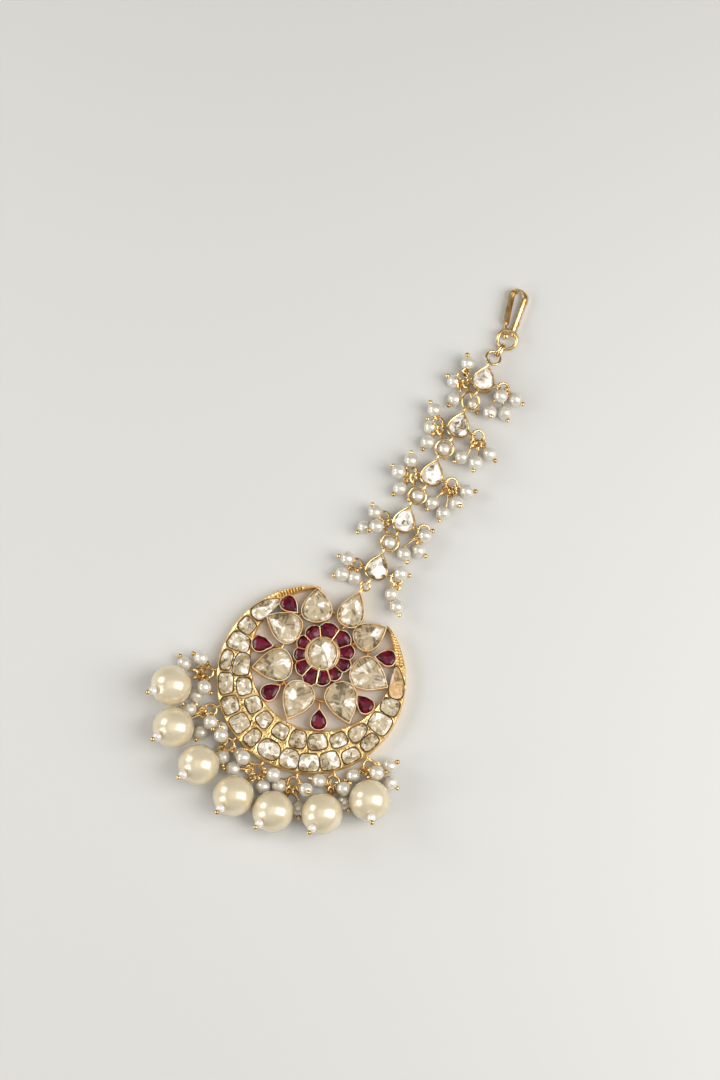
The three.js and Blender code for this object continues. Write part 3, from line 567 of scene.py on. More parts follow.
# Short bridges of solder that hold the openwork together: from one place to the next.
BRIDGES = [
    {"x1": -4.6, "y1": 9.4, "x2": -1.2, "y2": 9.0}, {"x1": 2.6, "y1": 9.8, "x2": 5.6, "y2": 9.8},
    {"x1": -9.3, "y1": 4.2, "x2": -7.3, "y2": 6.6}, {"x1": -8.4, "y1": -1.6, "x2": -8.4, "y2": -4.4},
    {"x1": -5.4, "y1": -8.6, "x2": -2.8, "y2": -10.4}, {"x1": 3.0, "y1": -9.4, "x2": 5.8, "y2": -8.8},
    {"x1": 8.8, "y1": -3.0, "x2": 9.0, "y2": -5.6}, {"x1": 8.0, "y1": 5.6, "x2": 9.8, "y2": 3.4},
    {"x1": -4.6, "y1": 5.2, "x2": -5.2, "y2": 6.4}, {"x1": 4.4, "y1": 5.0, "x2": 5.4, "y2": 6.2},
    {"x1": 6.4, "y1": 0.8, "x2": 7.6, "y2": 0.8}, {"x1": 4.6, "y1": -4.6, "x2": 6.0, "y2": -5.0},
    {"x1": 0.2, "y1": -7.2, "x2": 0.3, "y2": -8.0}, {"x1": -4.2, "y1": -4.6, "x2": -5.4, "y2": -5.2},
    {"x1": -5.8, "y1": 0.6, "x2": -7.0, "y2": 1.0}, {"x1": 1.0, "y1": 6.6, "x2": 1.2, "y2": 8.2},
    {"x1": -14.0, "y1": 6.4, "x2": -15.6, "y2": 7.2}, {"x1": -14.0, "y1": -5.4, "x2": -15.4, "y2": -6.0},
    {"x1": -6.4, "y1": -14.4, "x2": -7.4, "y2": -16.2}, {"x1": 7.4, "y1": -14.6, "x2": 8.2, "y2": -16.4},
    {"x1": 15.0, "y1": -5.4, "x2": 16.8, "y2": -5.8}, {"x1": 14.0, "y1": 6.8, "x2": 15.6, "y2": 7.4},
    {"x1": -9.6, "y1": 5.2, "x2": -8.6, "y2": 4.2}, {"x1": -10.4, "y1": -4.0, "x2": -8.6, "y2": -3.2},
    {"x1": -4.7, "y1": -10.9, "x2": -4.1, "y2": -9.4}, {"x1": 5.5, "y1": -10.9, "x2": 4.6, "y2": -9.2},
    {"x1": 11.4, "y1": -4.2, "x2": 8.9, "y2": -4.2}, {"x1": 10.4, "y1": 5.2, "x2": 8.9, "y2": 4.5},
    {"x1": -8.8, "y1": 12.0, "x2": -7.6, "y2": 12.4}, {"x1": 9.0, "y1": 12.4, "x2": 10.2, "y2": 11.6},
]
BRIDGE = {"height": 1.2, "half_wide": 0.32, "half_high": 0.5, "overlap": 0.1}
bpy.ops.mesh.primitive_uv_sphere_add(segments=14, ring_count=9, radius=mm)
solder = bpy.context.object
solder_parts = []
bpy.ops.object.select_all(action="DESELECT")
for bridge in BRIDGES:
    start = Vector((bridge["x1"], bridge["y1"], BRIDGE["height"])) * mm
    end = Vector((bridge["x2"], bridge["y2"], BRIDGE["height"])) * mm
    half_length = (end - start).length / mm / 2 + BRIDGE["overlap"]
    turned = (end - start).to_track_quat("X", "Z").to_matrix().to_4x4()
    size = Matrix.Diagonal((half_length, BRIDGE["half_wide"], BRIDGE["half_high"], 1))
    solder_parts.append(copied(solder, Matrix.Translation((start + end) / 2) @ turned @ size))

# The loops soldered round the crescent's edge, and the one at the top pear that takes the chain.
# Each drop has its loop's heading, the middle of its large pearl and the heading of its pin.
DROPS = [
    {"loop": -156, "x": -24.7, "y": -22.6, "pin": -127},
    {"loop": -134, "x": -19.6, "y": -30.2, "pin": -114},
    {"loop": -112, "x": -10.8, "y": -34.4, "pin": -112},
    {"loop": -90, "x": -0.9, "y": -36.4, "pin": -101},
    {"loop": -68, "x": 8.1, "y": -35.1, "pin": -104},
    {"loop": -46, "x": 17.5, "y": -30.2, "pin": -92},
    {"loop": -24, "x": 24.9, "y": -22.6, "pin": -55},
]
LOOP_HEIGHT = 1.5
LOOP = {"radius": 0.8, "wire": 0.2, "half_long": 0.95, "half_wide": 0.64}
UPRIGHT = Matrix.Rotation(math.radians(90), 4, "X")
LOOP_SHAPE = Matrix.Diagonal((LOOP["half_long"] / LOOP["radius"], 1, LOOP["half_wide"] / LOOP["radius"], 1))


def wire_ring(radius, wire, rounds=36, sides=10):
    """A round ring lying flat; wire is half the wire's thickness."""
    bpy.ops.mesh.primitive_torus_add(major_radius=radius * mm, minor_radius=wire * mm,
                                     major_segments=rounds, minor_segments=sides)
    made = bpy.context.object
    bpy.ops.object.select_all(action="DESELECT")
    return made


loop = wire_ring(LOOP["radius"], LOOP["wire"], 28, 10)


def loop_at(place, heading):
    """An upright soldered loop that points along a heading."""
    turned = Matrix.Rotation(math.radians(heading), 4, "Z")
    return copied(loop, Matrix.Translation(place * mm) @ turned @ LOOP_SHAPE @ UPRIGHT)


def past_crescent(heading, reach):
    """A place at the loops' height, past the crescent's outer edge."""
    centre = Vector((OUTER["x"], OUTER["y"], LOOP_HEIGHT))
    return centre + heading_vector(heading) * (OUTER["radius"] + reach)


for drop in DROPS:
    pendant_gold.append(loop_at(past_crescent(drop["loop"], 0.5), drop["loop"]))
TOP_LOOP = Vector((PETALS[1]["x"], PETALS[1]["y"], 2.1)) + heading_vector(PETALS[1]["heading"]) * 0.3
pendant_gold.append(loop_at(TOP_LOOP, 90))

# Two lines of gold grains run up the right point of the crescent.
GRAINS = {"radius": 0.36, "a_row": 13, "first": 399.3, "apart": 1.85, "sunk": 0.04}
GRAIN_ROOM = {"least": 0.75, "full": 1.1}
for row in range(2):
    for count in range(GRAINS["a_row"]):
        heading = GRAINS["first"] + (count + row / 2) * GRAINS["apart"]
        room = OUTER["radius"] - inner_edge(heading)
        if room > GRAIN_ROOM["least"]:
            radius = OUTER["radius"] - room * (0.3 + 0.4 * row)
            centre = Vector((OUTER["x"], OUTER["y"], FOIL_TOP - GRAINS["sunk"]))
            place = centre + heading_vector(heading) * radius
            size = Matrix.Scale(GRAINS["radius"] * min(1, room / GRAIN_ROOM["full"]), 4)
            crescent_parts.append(copied(solder, Matrix.Translation(place * mm) @ size))

crescent = joined("crescent_gold", crescent_parts, foil_gold)
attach(crescent, "root")
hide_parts("pendant_frame")
bridges = joined("solder_bridges", solder_parts, shaded_solder_gold)
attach(bridges, "root")
openwork = joined("openwork_gold", pendant_gold, rim_gold)
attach(openwork, "root")

# ==== the flat-cut stones in the crescent ====
# Uncut diamonds split into thin plates, each polished with a few flat facets of its own and
# set over silver foil. The pressed gold holds them by their edges.


def polki_finish(name, warm, body, patch_size, foil_glare):
    """A foil-backed stone: each facet has its own painted reflection of the foil, with pale and white
    patches painted as reflection and highlight, and dark fine rays.
    """
    made, start, place, shader = finish_named(name)
    facet = start.node("ShaderNodeAttribute", {"attribute_name": "facet_light"}, None, "Fac")
    amber = start.node("ShaderNodeAttribute", {"attribute_name": "amber"}, None, "Fac")
    way = start.node("ShaderNodeAttribute", {"attribute_name": "facet_way"}, None, "Vector")
    aside = start.node("ShaderNodeVectorMath", {"operation": "CROSS_PRODUCT"}, {0: way, 1: (0, 0, 1)})
    along = start.node("ShaderNodeVectorMath", {"operation": "DOT_PRODUCT"}, {0: place, 1: way}, "Value")
    across = start.node("ShaderNodeVectorMath", {"operation": "DOT_PRODUCT"}, {0: place, 1: aside}, "Value")
    thread = start.node("ShaderNodeCombineXYZ", None,
                        {"X": along * 330.0, "Y": across * 1900.0, "Z": facet * 9.0})
    rays = start.node("ShaderNodeTexNoise", None, {"Vector": thread, "Scale": 1.0, "Detail": 4.0})
    bent = start.node("ShaderNodeTexNoise", None, {"Vector": place, "Scale": 900.0, "Detail": 2.0},
                      "Color")
    moved = start.node("ShaderNodeVectorMath", {"operation": "MULTIPLY_ADD"},
                       {0: bent, 1: (0.5 * mm,) * 3, 2: place})
    cells = start.node("ShaderNodeTexVoronoi", {"feature": "SMOOTH_F1"},
                       {"Vector": moved, "Scale": 1 / patch_size, "Smoothness": 0.25}, "Color")
    glint = cells.node("ShaderNodeSeparateColor", None, {0: cells})
    veil = start.node("ShaderNodeTexNoise", None, {"Vector": moved, "Scale": 1300.0, "Detail": 4.0})
    # Painted light: the facet's light, the glints and the veil add to a painted reflection of the foil, and
    # the brightest places are painted white as highlight; the dark rays are the stone's own streaks.
    light = facet * 0.45 + glint * 0.35 + veil * 0.2 + rays * 0.5 + (foil_glare - 0.55)
    pale = light.over(0.66, 0.3).mix(warm, body)
    bright = light.over(0.86, 0.09).mix(pale, (1.0, 0.98, 0.93))
    dark = (facet * 0.3 + glint * 0.2 + rays * 0.9).over(0.55, 0.1)
    colour = (amber * veil * 1.7).mix(dark.mix((0.15, 0.11, 0.06), bright), (0.66, 0.33, 0.07))
    bump = start.node("ShaderNodeBump", None,
                      {"Strength": 0.5, "Distance": 0.02 * mm, "Height": veil + glint})
    wire_up(shader, base_color=colour, roughness=veil * 0.16 + 0.02, ior=1.9, specular_ior_level=0.35,
            normal=bump)
    return made


crescent_polki = polki_finish("crescent_polki", (0.38, 0.28, 0.15), (0.68, 0.57, 0.38), 1.0 * mm, 0.5)


chance = random.Random(11)
FACET_WANDER = 0.3
RAY_WANDER = 12


def cut_stone(name, outline, cut):
    """A plate over an outline, ground with the cut's tiers of flat facets. In a tier, the facets'
    slopes vary by the spread, and they start at a share of the way out and of the way up."""
    bpy.ops.mesh.primitive_circle_add(vertices=len(outline), radius=mm, fill_type="NGON")
    stone = bpy.context.object
    stone.name = name
    for corner, place in zip(stone.data.vertices, outline):
        corner.co = Vector((place.x, place.y, cut["seat"])) * mm
    bpy.ops.object.mode_set(mode="EDIT")
    bpy.ops.mesh.select_all(action="SELECT")
    rise = (0, 0, (cut["top"] - cut["seat"]) * mm)
    bpy.ops.mesh.extrude_region_move(TRANSFORM_OT_translate={"value": rise})
    middle = sum(outline, Vector()) / len(outline)
    for tier in cut["tiers"]:
        first = chance.uniform(0, 360)
        for number in range(tier["count"]):
            place_in_tier = number + chance.uniform(-FACET_WANDER, FACET_WANDER)
            way = heading_vector(first + 360 * place_in_tier / tier["count"])
            slope = math.radians(tier["slope"] + chance.uniform(-1, 1) * tier["spread"])
            reach = max((place - middle).dot(way) for place in outline)
            level = between(cut["girdle"], cut["top"], tier["up"])
            normal = way * math.sin(slope) + Vector((0, 0, math.cos(slope)))
            point = middle + way * (tier["out"] * reach) + Vector((0, 0, level))
            bpy.ops.mesh.select_all(action="SELECT")
            bpy.ops.mesh.bisect(plane_co=point * mm, plane_no=normal, use_fill=True, clear_outer=True,
                                threshold=0.0005 * mm)
    bpy.ops.mesh.select_all(action="SELECT")
    bpy.ops.mesh.normals_make_consistent(inside=False)
    bpy.ops.object.mode_set(mode="OBJECT")
    bpy.ops.object.select_all(action="DESELECT")
    # Each facet gets a random painted light, and a way for the rays across it.
    facet_lights = stone.data.attributes.new("facet_light", "FLOAT", "FACE")
    ways = stone.data.attributes.new("facet_way", "FLOAT_VECTOR", "FACE")
    facet_chance = random.Random(chance.random())
    for facet in sorted(stone.data.polygons, key=lambda face: tuple(face.center)):
        out = facet.center / mm - middle
        turned = math.degrees(math.atan2(out.y, out.x)) + facet_chance.uniform(-RAY_WANDER, RAY_WANDER)
        facet_lights.data[facet.index].value = facet_chance.random()
        ways.data[facet.index].vector = heading_vector(turned)
    return stone


CUSHION_CUT = {
    "seat": 1.5, "girdle": 2.3, "top": 3.0,
    "tiers": [
        {"count": 7, "slope": 48, "spread": 8, "out": 1.0, "up": 0.05},
        {"count": 5, "slope": 24, "spread": 7, "out": 0.72, "up": 0.62},
        {"count": 3, "slope": 9, "spread": 4, "out": 0.2, "up": 0.96},
    ],
}


def stone_outline(stone, corners, clear):
    """The edge of a crescent stone, a little inside the foil that holds it."""
    middle, mean, half_along, half_across = stone_size(stone)
    half_along -= clear
    half_across -= clear
    places = []
    power = 2 / (stone["square"] * SQUARER)
    for number in range(corners):
        t = 2 * math.pi * number / corners
        along = math.copysign(abs(math.cos(t)) ** power, math.cos(t))
        across = math.copysign(abs(math.sin(t)) ** power, math.sin(t))
        radius = mean + across * half_across * (1 + stone["narrow"] * along * NARROWING)
        heading = middle + math.degrees(along * half_along / mean)
        place = heading_vector(heading) * radius
        places.append(Vector((OUTER["x"] + place.x, OUTER["y"] + place.y, 0)))
    return places


# A warm stain fills the lower part of the stone at the right point.
AMBER = {"stone": 17, "below": 1.8, "strong": 0.85, "faint": 0.3}
STONE_PLAY = 0.04
crescent_stones = []
for number, stone in enumerate(CRESCENT_STONES, 1):
    plate = cut_stone(f"plate_{number}", stone_outline(stone, 36, STONE_PLAY), CUSHION_CUT)
    if number == AMBER["stone"]:
        stain = plate.data.attributes.new("amber", "FLOAT", "FACE")
        for tone, facet in zip(stain.data, plate.data.polygons):
            tone.value = AMBER["strong"] if facet.center.y < AMBER["below"] * mm else AMBER["faint"]
    crescent_stones.append(plate)

crescent_set = joined("crescent_stones", crescent_stones, crescent_polki, faceted=True)
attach(crescent_set, "root")

# ==== the eight pear stones of the flower, and the round one in its middle ====
# The largest plates, with a few broad facets that meet in low ridges. Warmer and cloudier than
# the crescent's, they sit on foil inside their bezels.
petal_polki = polki_finish("petal_polki", (0.38, 0.29, 0.16), (0.62, 0.50, 0.32), 1.6 * mm, 0.46)
PEAR_CUT = {
    "seat": 1.5, "girdle": 2.45, "top": 3.3,
    "tiers": [
        {"count": 13, "slope": 40, "spread": 7, "out": 1.0, "up": 0.0},
        {"count": 6, "slope": 17, "spread": 5, "out": 0.7, "up": 0.66},
        {"count": 4, "slope": 7, "spread": 3, "out": 0.15, "up": 0.98},
    ],
}
BEZEL_FIT = 0.3


def pear_outline(pear, trim, corners):
    """The corners of a pear stone, drawn in by trim from its bezel's edge."""
    return [pear_edge(pear, trim, number / corners) for number in range(corners)]


for number, petal in enumerate(PETALS, 1):
    outline = pear_outline(petal, BEZEL_FIT, 44)
    stone = cut_stone(f"pear_{number}", outline, PEAR_CUT)
    stone = joined(f"pear_stone_{number}", [stone], petal_polki, faceted=True)
    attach(stone, "root")
    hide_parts(f"petal_stone_{number}")
outline = [centre_edge(BEZEL_FIT, number / 40) for number in range(40)]
stone = cut_stone("middle", outline, PEAR_CUT)
stone = joined("middle_stone", [stone], petal_polki, faceted=True)
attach(stone, "root")
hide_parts("centre_stone")

# ==== the red stones: eleven petals round the middle and six drops ====
# Deep crimson stones with soft polished tops, cut to fit between thin gold walls.


def ruby_finish(name):
    """Crimson stone with cloudy depths, a little silk, and painted light that differs from facet to facet.
    """
    made, start, place, shader = finish_named(name)
    facet = start.node("ShaderNodeAttribute", {"attribute_name": "facet_light"}, None, "Fac")
    cloud = start.node("ShaderNodeTexNoise", None, {"Vector": place, "Scale": 900.0, "Detail": 4.0})
    silk = start.node("ShaderNodeTexVoronoi", {"feature": "SMOOTH_F1"}, {"Vector": place, "Scale": 1500.0})
    # Painted light: the facet's light is mixed into the depth, so each facet is painted lighter or darker;
    # the cloud and silk are the stone's own.
    depth = facet * 0.4 + cloud * 0.9 + silk * 0.2
    colour = depth.over(0.72, 0.28).mix((0.035, 0.001, 0.005), (0.17, 0.004, 0.024))
    bump = start.node("ShaderNodeBump", None, {"Strength": 0.4, "Distance": 0.02 * mm, "Height": cloud})
    wire_up(shader, base_color=colour, roughness=cloud * 0.12 + 0.01, ior=1.77, specular_ior_level=0.2,
            normal=bump)
    return made


crimson = ruby_finish("crimson_stone")
RUBY_CUT = {
    "seat": 1.5, "girdle": 2.35, "top": 3.0,
    "tiers": [
        {"count": 11, "slope": 52, "spread": 6, "out": 1.0, "up": 0.1},
        {"count": 9, "slope": 30, "spread": 5, "out": 0.8, "up": 0.6},
        {"count": 5, "slope": 10, "spread": 4, "out": 0.3, "up": 0.95},
    ],
}
RUBY = {"inner": 3.85, "play": 0.03}
outer_gap = math.degrees(WALL_HALF / 5.5)
inner_gap = math.degrees((WALL_HALF + RUBY["play"]) / 3.9)
ruby_ring = []
for first, last in zip([NOTCH_HEADINGS[-1] + 360] + NOTCH_HEADINGS, NOTCH_HEADINGS):
    outline = []
    for step in range(11):
        outline.append(lobe_edge(between(last + outer_gap, first - outer_gap, step / 10), BEZEL_FIT))
    for step in range(7):
        heading = between(first - inner_gap, last + inner_gap, step / 6)
        outline.append(heading_vector(heading) * RUBY["inner"])
    ruby_ring.append(cut_stone("red_petal", outline, RUBY_CUT))
red_petals = joined("red_petals", ruby_ring, crimson, faceted=True)
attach(red_petals, "root")
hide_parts("ruby_ring")

DROP_CUT = {**RUBY_CUT, "girdle": 2.4, "top": 3.1}
drop_stones = []
for droplet in DROPLETS:
    drop_stones.append(cut_stone("red_drop", pear_outline(droplet, BEZEL_FIT, 32), DROP_CUT))
red_drops = joined("red_drops", drop_stones, crimson, faceted=True)
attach(red_drops, "root")

# ==== the seven large pearls, with the pin, seed bead and gold ball of each ====
# Cream shell pearls drilled right through. A gold pin with a ball end holds a small clear seed
# bead below the pearl, and turns into a wrapped eye on a jump ring above it.


def pearl_finish(name, light, deep, lustre):
    """A polished pearl skin, faintly uneven in tone, with a clear gloss on top."""
    made, start, place, shader = finish_named(name)
    cloud = start.node("ShaderNodeTexNoise", None, {"Vector": place, "Scale": 260.0, "Detail": 3.0})
    skin = start.node("ShaderNodeTexNoise", None, {"Vector": place, "Scale": 1500.0, "Detail": 3.0})
    bump = start.node("ShaderNodeBump", None, {"Strength": 0.1, "Distance": 0.01 * mm, "Height": skin})
    wire_up(shader, base_color=(cloud * 0.8 + skin * 0.2).over(0.5, 0.2).mix(light, deep), metallic=lustre,
            roughness=skin * 0.1 + 0.25, ior=1.6, coat_weight=0.8, coat_roughness=0.12, coat_ior=1.6,
            normal=bump)
    return made


cream_pearl = pearl_finish("cream_pearl", (0.80, 0.70, 0.49), (0.73, 0.61, 0.40), 0.25)
seed_glass = pearl_finish("seed_glass", (0.93, 0.88, 0.83), (0.80, 0.73, 0.66), 0.15)
white_pearl = pearl_finish("white_pearl", (0.84, 0.80, 0.70), (0.70, 0.65, 0.54), 0.4)

BIG_PEARL = 4.5
SEED = 0.95
BALL = 0.55
PIN_WIRE = 0.2
DROP_LIFT = 42
RING = {"radius": 1.32, "wire": 0.27}


def pearl_ball(name, radius, dimple, unevenness):
    """A pearl drilled along Z, with a soft dimple round each end of its bore."""
    bpy.ops.mesh.primitive_uv_sphere_add(segments=40, ring_count=24, radius=1)
    pearl = bpy.context.object
    pearl.name = name
    for corner in pearl.data.vertices:
        slope = math.degrees(math.acos(min(1.0, abs(corner.co.z))))
        sunk = dimple * math.exp(-((slope / 9) ** 2))
        bulge = unevenness * (noise.noise(corner.co * 1.3) - 0.6)
        corner.co *= radius * (1 - sunk + bulge) * mm
    bpy.ops.object.select_all(action="DESELECT")
    return pearl


def facing(direction):
    """Turns +Z to a direction."""
    return direction.to_track_quat("Z", "Y").to_matrix().to_4x4()


def placed(pattern, place, direction, size=1.0):
    """A copy of a pattern at a place in millimetres, with its +Z along a direction."""
    return copied(pattern, Matrix.Translation(place * mm) @ facing(direction) @ Matrix.Scale(size, 4))


def bar(start, end, radius):
    """A round wire between two places in millimetres."""
    bpy.ops.mesh.primitive_cylinder_add(vertices=10, radius=radius * mm, depth=(end - start).length * mm)
    made = bpy.context.object
    made.data.transform(Matrix.Translation((start + end) / 2 * mm) @ facing(end - start))
    bpy.ops.object.select_all(action="DESELECT")
    return made


EYE = {"least": 0.6, "most": 0.82, "wire": 0.17}
WRAP = {"radius": 0.29, "wire": 0.15, "apart": 0.24, "turns": 3}
SMALL_PEARL = 1.6
eye_ring = wire_ring(EYE["least"], EYE["wire"], 24, 8)
neck_wrap = wire_ring(WRAP["radius"], WRAP["wire"], 16, 8)
bunch_ring = wire_ring(RING["radius"], RING["wire"])
bpy.ops.mesh.primitive_uv_sphere_add(segments=18, ring_count=12, radius=mm)
grain = bpy.context.object
bpy.ops.object.select_all(action="DESELECT")
big = pearl_ball("big", BIG_PEARL, 0.05, 0.012)
small = pearl_ball("small", SMALL_PEARL, 0.07, 0.03)
seed = pearl_ball("seed", SEED, 0.12, 0.05)


def ball_at(place, radius, along=Vector((0, 0, 1)), flat=1.0):
    """A ball of gold, flattened along a direction."""
    size = Matrix.Diagonal((radius, radius, radius * flat, 1))
    return copied(grain, Matrix.Translation(place * mm) @ facing(along) @ size)


def eye_and_wire(hang, entry, wire):
    """A wrapped double eye that hangs at a place, and the wire from it into a pearl."""
    way = (entry - hang).normalized()
    room = (entry - hang).length
    eye = min(EYE["most"], max(EYE["least"], room * 0.5))
    side = way.cross(Vector((0, 0, 1)))
    across = side.normalized() if side.length > 0.1 else Vector((1, 0, 0))
    centre = hang + way * (eye - 0.4)
    parts = []
    for turn in (-1, 1):
        leaning = (across * 0.5 * turn + way * 0.2 + Vector((0, 0, 0.85))).normalized()
        at = centre + across * 0.14 * turn + Vector((0, 0, 0.22 * turn))
        parts.append(placed(eye_ring, at, leaning, eye / EYE["least"]))
    for turn in range(WRAP["turns"]):
        along = 2 * eye - 0.3 + WRAP["apart"] * turn
        if along < room + 0.1:
            parts.append(placed(neck_wrap, hang + way * along, way))
    parts.append(bar(hang + way * 0.6, entry, wire))
    return parts


for number, drop in enumerate(DROPS, 1):
    loop_end = past_crescent(drop["loop"], 0.9)
    toward = (Vector((drop["x"], drop["y"], LOOP_HEIGHT)) - loop_end).normalized()
    drop["ring"] = loop_end + toward * RING["radius"]
    drop["eye"] = drop["ring"] + toward * RING["radius"]
    middle = Vector((drop["x"], drop["y"], BIG_PEARL))
    axis = heading_vector(drop["pin"], DROP_LIFT)
    pearl = joined(f"large_pearl_{number}", [placed(big, middle, axis)], cream_pearl)
    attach(pearl, "root")
    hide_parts(f"big_pearl_{number}")
    entry = middle - axis * BIG_PEARL
    tip = middle + axis * (BIG_PEARL + 2 * SEED + BALL * 0.8)
    parts = eye_and_wire(drop["eye"], entry, PIN_WIRE)
    parts.append(bar(middle + axis * BIG_PEARL, tip, PIN_WIRE))
    parts.append(ball_at(tip, BALL, axis))
    parts.append(placed(neck_wrap, entry - axis * 0.05, axis))
    pin = joined(f"ball_pin_{number}", parts, wire_gold)
    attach(pin, "root")
    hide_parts(f"drop_pin_{number}")
    bead = placed(seed, middle + axis * (BIG_PEARL + SEED * 0.92), axis)
    bead = joined(f"seed_bead_{number}", [bead], seed_glass)
    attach(bead, "root")

# ==== the bunches of small pearls beside the large ones ====
# Three or four white pearls on ball pins, whose eyes hang together on one jump ring.
BUNCH_WIRE = 0.17
CLUSTERS = [
    [
        {"x": -22.3, "y": -14.1, "z": 3.2, "pin": 180, "lift": 5},
        {"x": -25.0, "y": -16.8, "z": 1.6, "pin": 150, "lift": 10},
        {"x": -18.4, "y": -19.3, "z": 3.9, "pin": -10, "lift": 5},
        {"x": -19.2, "y": -21.5, "z": 1.6, "pin": -60, "lift": 0},
    ],
    [
        {"x": -18.9, "y": -24.9, "z": 1.6, "pin": 170, "lift": 10},
        {"x": -14.2, "y": -28.0, "z": 1.9, "pin": -95, "lift": 12},
        {"x": -13.3, "y": -25.2, "z": 4.2, "pin": -40, "lift": 30},
    ],
    [
        {"x": -10.9, "y": -25.0, "z": 1.6, "pin": 150, "lift": 10},
        {"x": -9.9, "y": -26.5, "z": 4.4, "pin": 120, "lift": 20},
        {"x": -7.3, "y": -30.2, "z": 1.6, "pin": -60, "lift": 20},
        {"x": -4.4, "y": -27.7, "z": 1.6, "pin": 190, "lift": 0},
    ],
    [
        {"x": -3.3, "y": -28.3, "z": 4.6, "pin": 100, "lift": 10},
        {"x": -4.2, "y": -31.3, "z": 2.2, "pin": -150, "lift": 5},
        {"x": 4.2, "y": -28.2, "z": 3.8, "pin": -170, "lift": 10},
        {"x": 3.4, "y": -31.4, "z": 1.6, "pin": -60, "lift": 5},
    ],
    [
        {"x": 6.3, "y": -29.5, "z": 1.6, "pin": -60, "lift": 0},
        {"x": 11.9, "y": -27.5, "z": 4.3, "pin": -20, "lift": 65},
        {"x": 12.4, "y": -31.6, "z": 1.6, "pin": -60, "lift": 5},
    ],
    [
        {"x": 13.3, "y": -24.4, "z": 3.2, "pin": -168, "lift": 5},
        {"x": 18.8, "y": -23.2, "z": 3.8, "pin": 70, "lift": 20},
        {"x": 20.3, "y": -25.5, "z": 1.6, "pin": -35, "lift": 10},
    ],
    [
        {"x": 19.1, "y": -19.6, "z": 1.6, "pin": -120, "lift": 0},
        {"x": 23.3, "y": -16.7, "z": 4.6, "pin": 33, "lift": 10},
        {"x": 24.9, "y": -13.9, "z": 2.6, "pin": 57, "lift": 20},
        {"x": 26.8, "y": -16.9, "z": 2.2, "pin": -10, "lift": 10},
    ],
]


def pearl_bunch(name, node, ring, heading, tilt, pearls):
    """A jump ring in millimetres, and small pearls on ball pins that hang from it."""
    turned = Matrix.Rotation(math.radians(heading), 4, "Z") @ Matrix.Rotation(math.radians(tilt), 4, "Y")
    gold_parts = [copied(bunch_ring, Matrix.Translation(ring * mm) @ turned)]
    pearl_parts = []
    for item in pearls:
        middle = Vector((item["x"], item["y"], item["z"]))
        flat = Vector((middle.x - ring.x, middle.y - ring.y, 0)).normalized()
        local = turned.to_3x3().inverted() @ flat
        hang = ring + turned.to_3x3() @ Vector((local.x, local.y, 0)).normalized() * RING["radius"]
        axis = heading_vector(item["pin"], item["lift"])
        back = (hang - middle).normalized()
        straight = back.dot(-axis) > 0.2
        entry = middle - axis * SMALL_PEARL if straight else middle + back * (SMALL_PEARL - 0.05)
        pearl_parts.append(placed(small, middle, axis))
        gold_parts += eye_and_wire(hang, entry, BUNCH_WIRE)
        tip = middle + axis * (SMALL_PEARL + BALL / 2)
        gold_parts.append(bar(middle + axis * (SMALL_PEARL - 0.2), tip, BUNCH_WIRE))
        gold_parts.append(ball_at(tip + axis * 0.06, BALL * 0.94, axis))
        gold_parts.append(ball_at(middle + axis * (SMALL_PEARL - 0.08), BALL * 0.62, axis, 0.5))
    metal = joined(f"{name}_gold", gold_parts, wire_gold)
    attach(metal, "root")
    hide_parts(node)
    whole = joined(f"{name}_pearls", pearl_parts, white_pearl)
    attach(whole, "root")


for number, (drop, pearls) in enumerate(zip(DROPS, CLUSTERS), 1):
    toward = drop["eye"] - drop["ring"]
    heading = math.degrees(math.atan2(toward.y, toward.x))
    pearl_bunch(f"bunch_{number}", f"pearl_cluster_{number}", drop["ring"], heading, 0, pearls)

# ==== the five links of the chain ====
# Pear-shaped boxes of gold sheet with a pale burnished rim over one flat-cut stone. Wire loops
# are soldered at the point, at the round end and on both sides.
LINK_LIFT = 0.9
LINK = {"length": 6.3, "width": 5.2, "heading": 0, "middle": Vector((0, 0, 0))}
LINKS = [
    {"x": 0.9, "y": 22.6, "heading": 101, "tip": 0},
    {"x": 0.8, "y": 34.7, "heading": 101, "tip": 0},
    {"x": 0.9, "y": 46.8, "heading": 102, "tip": 0},
    {"x": 0.7, "y": 58.9, "heading": 102, "tip": 3},
    {"x": 0.3, "y": 70.4, "heading": 104, "tip": 12},
]
LOOP_SPOTS = {
    "point": {"x": LINK["length"] / 2 + 0.65, "y": 0, "turn": 0},
    "heel": {"x": -LINK["length"] / 2 - 0.55, "y": 0.7, "turn": 169},
    "left": {"x": -LINK["length"] / 6, "y": LINK["width"] / 2 + 0.4, "turn": 90},
    "right": {"x": -LINK["length"] / 6, "y": -LINK["width"] / 2 - 0.4, "turn": -90},
}
LINK_LOOP_HEIGHT = 1.75
LINK_FIT = 0.44
LOOP_FOOT = {"back": 0.62, "radius": 0.36}
LINK_WALL = [
    {"trim": None, "z": 0.0}, {"trim": 0.35, "z": 0.0}, {"trim": 0.22, "z": 0.1}, {"trim": 0.16, "z": 0.6},
    {"trim": 0.08, "z": 1.6}, {"trim": 0.0, "z": 2.3}, {"trim": 0.03, "z": 2.5}, {"trim": 0.14, "z": 2.6},
    {"trim": 0.26, "z": 2.58}, {"trim": 0.36, "z": 2.48}, {"trim": 0.42, "z": 2.3},
    {"trim": 0.45, "z": 1.2}, {"trim": None, "z": 1.2},
]
LINK_CUT = {
    "seat": 1.3, "girdle": 2.35, "top": 3.08,
    "tiers": [
        {"count": 11, "slope": 42, "spread": 7, "out": 1.0, "up": 0.0},
        {"count": 5, "slope": 20, "spread": 6, "out": 0.7, "up": 0.62},
        {"count": 3, "slope": 9, "spread": 4, "out": 0.2, "up": 0.96},
    ],
}


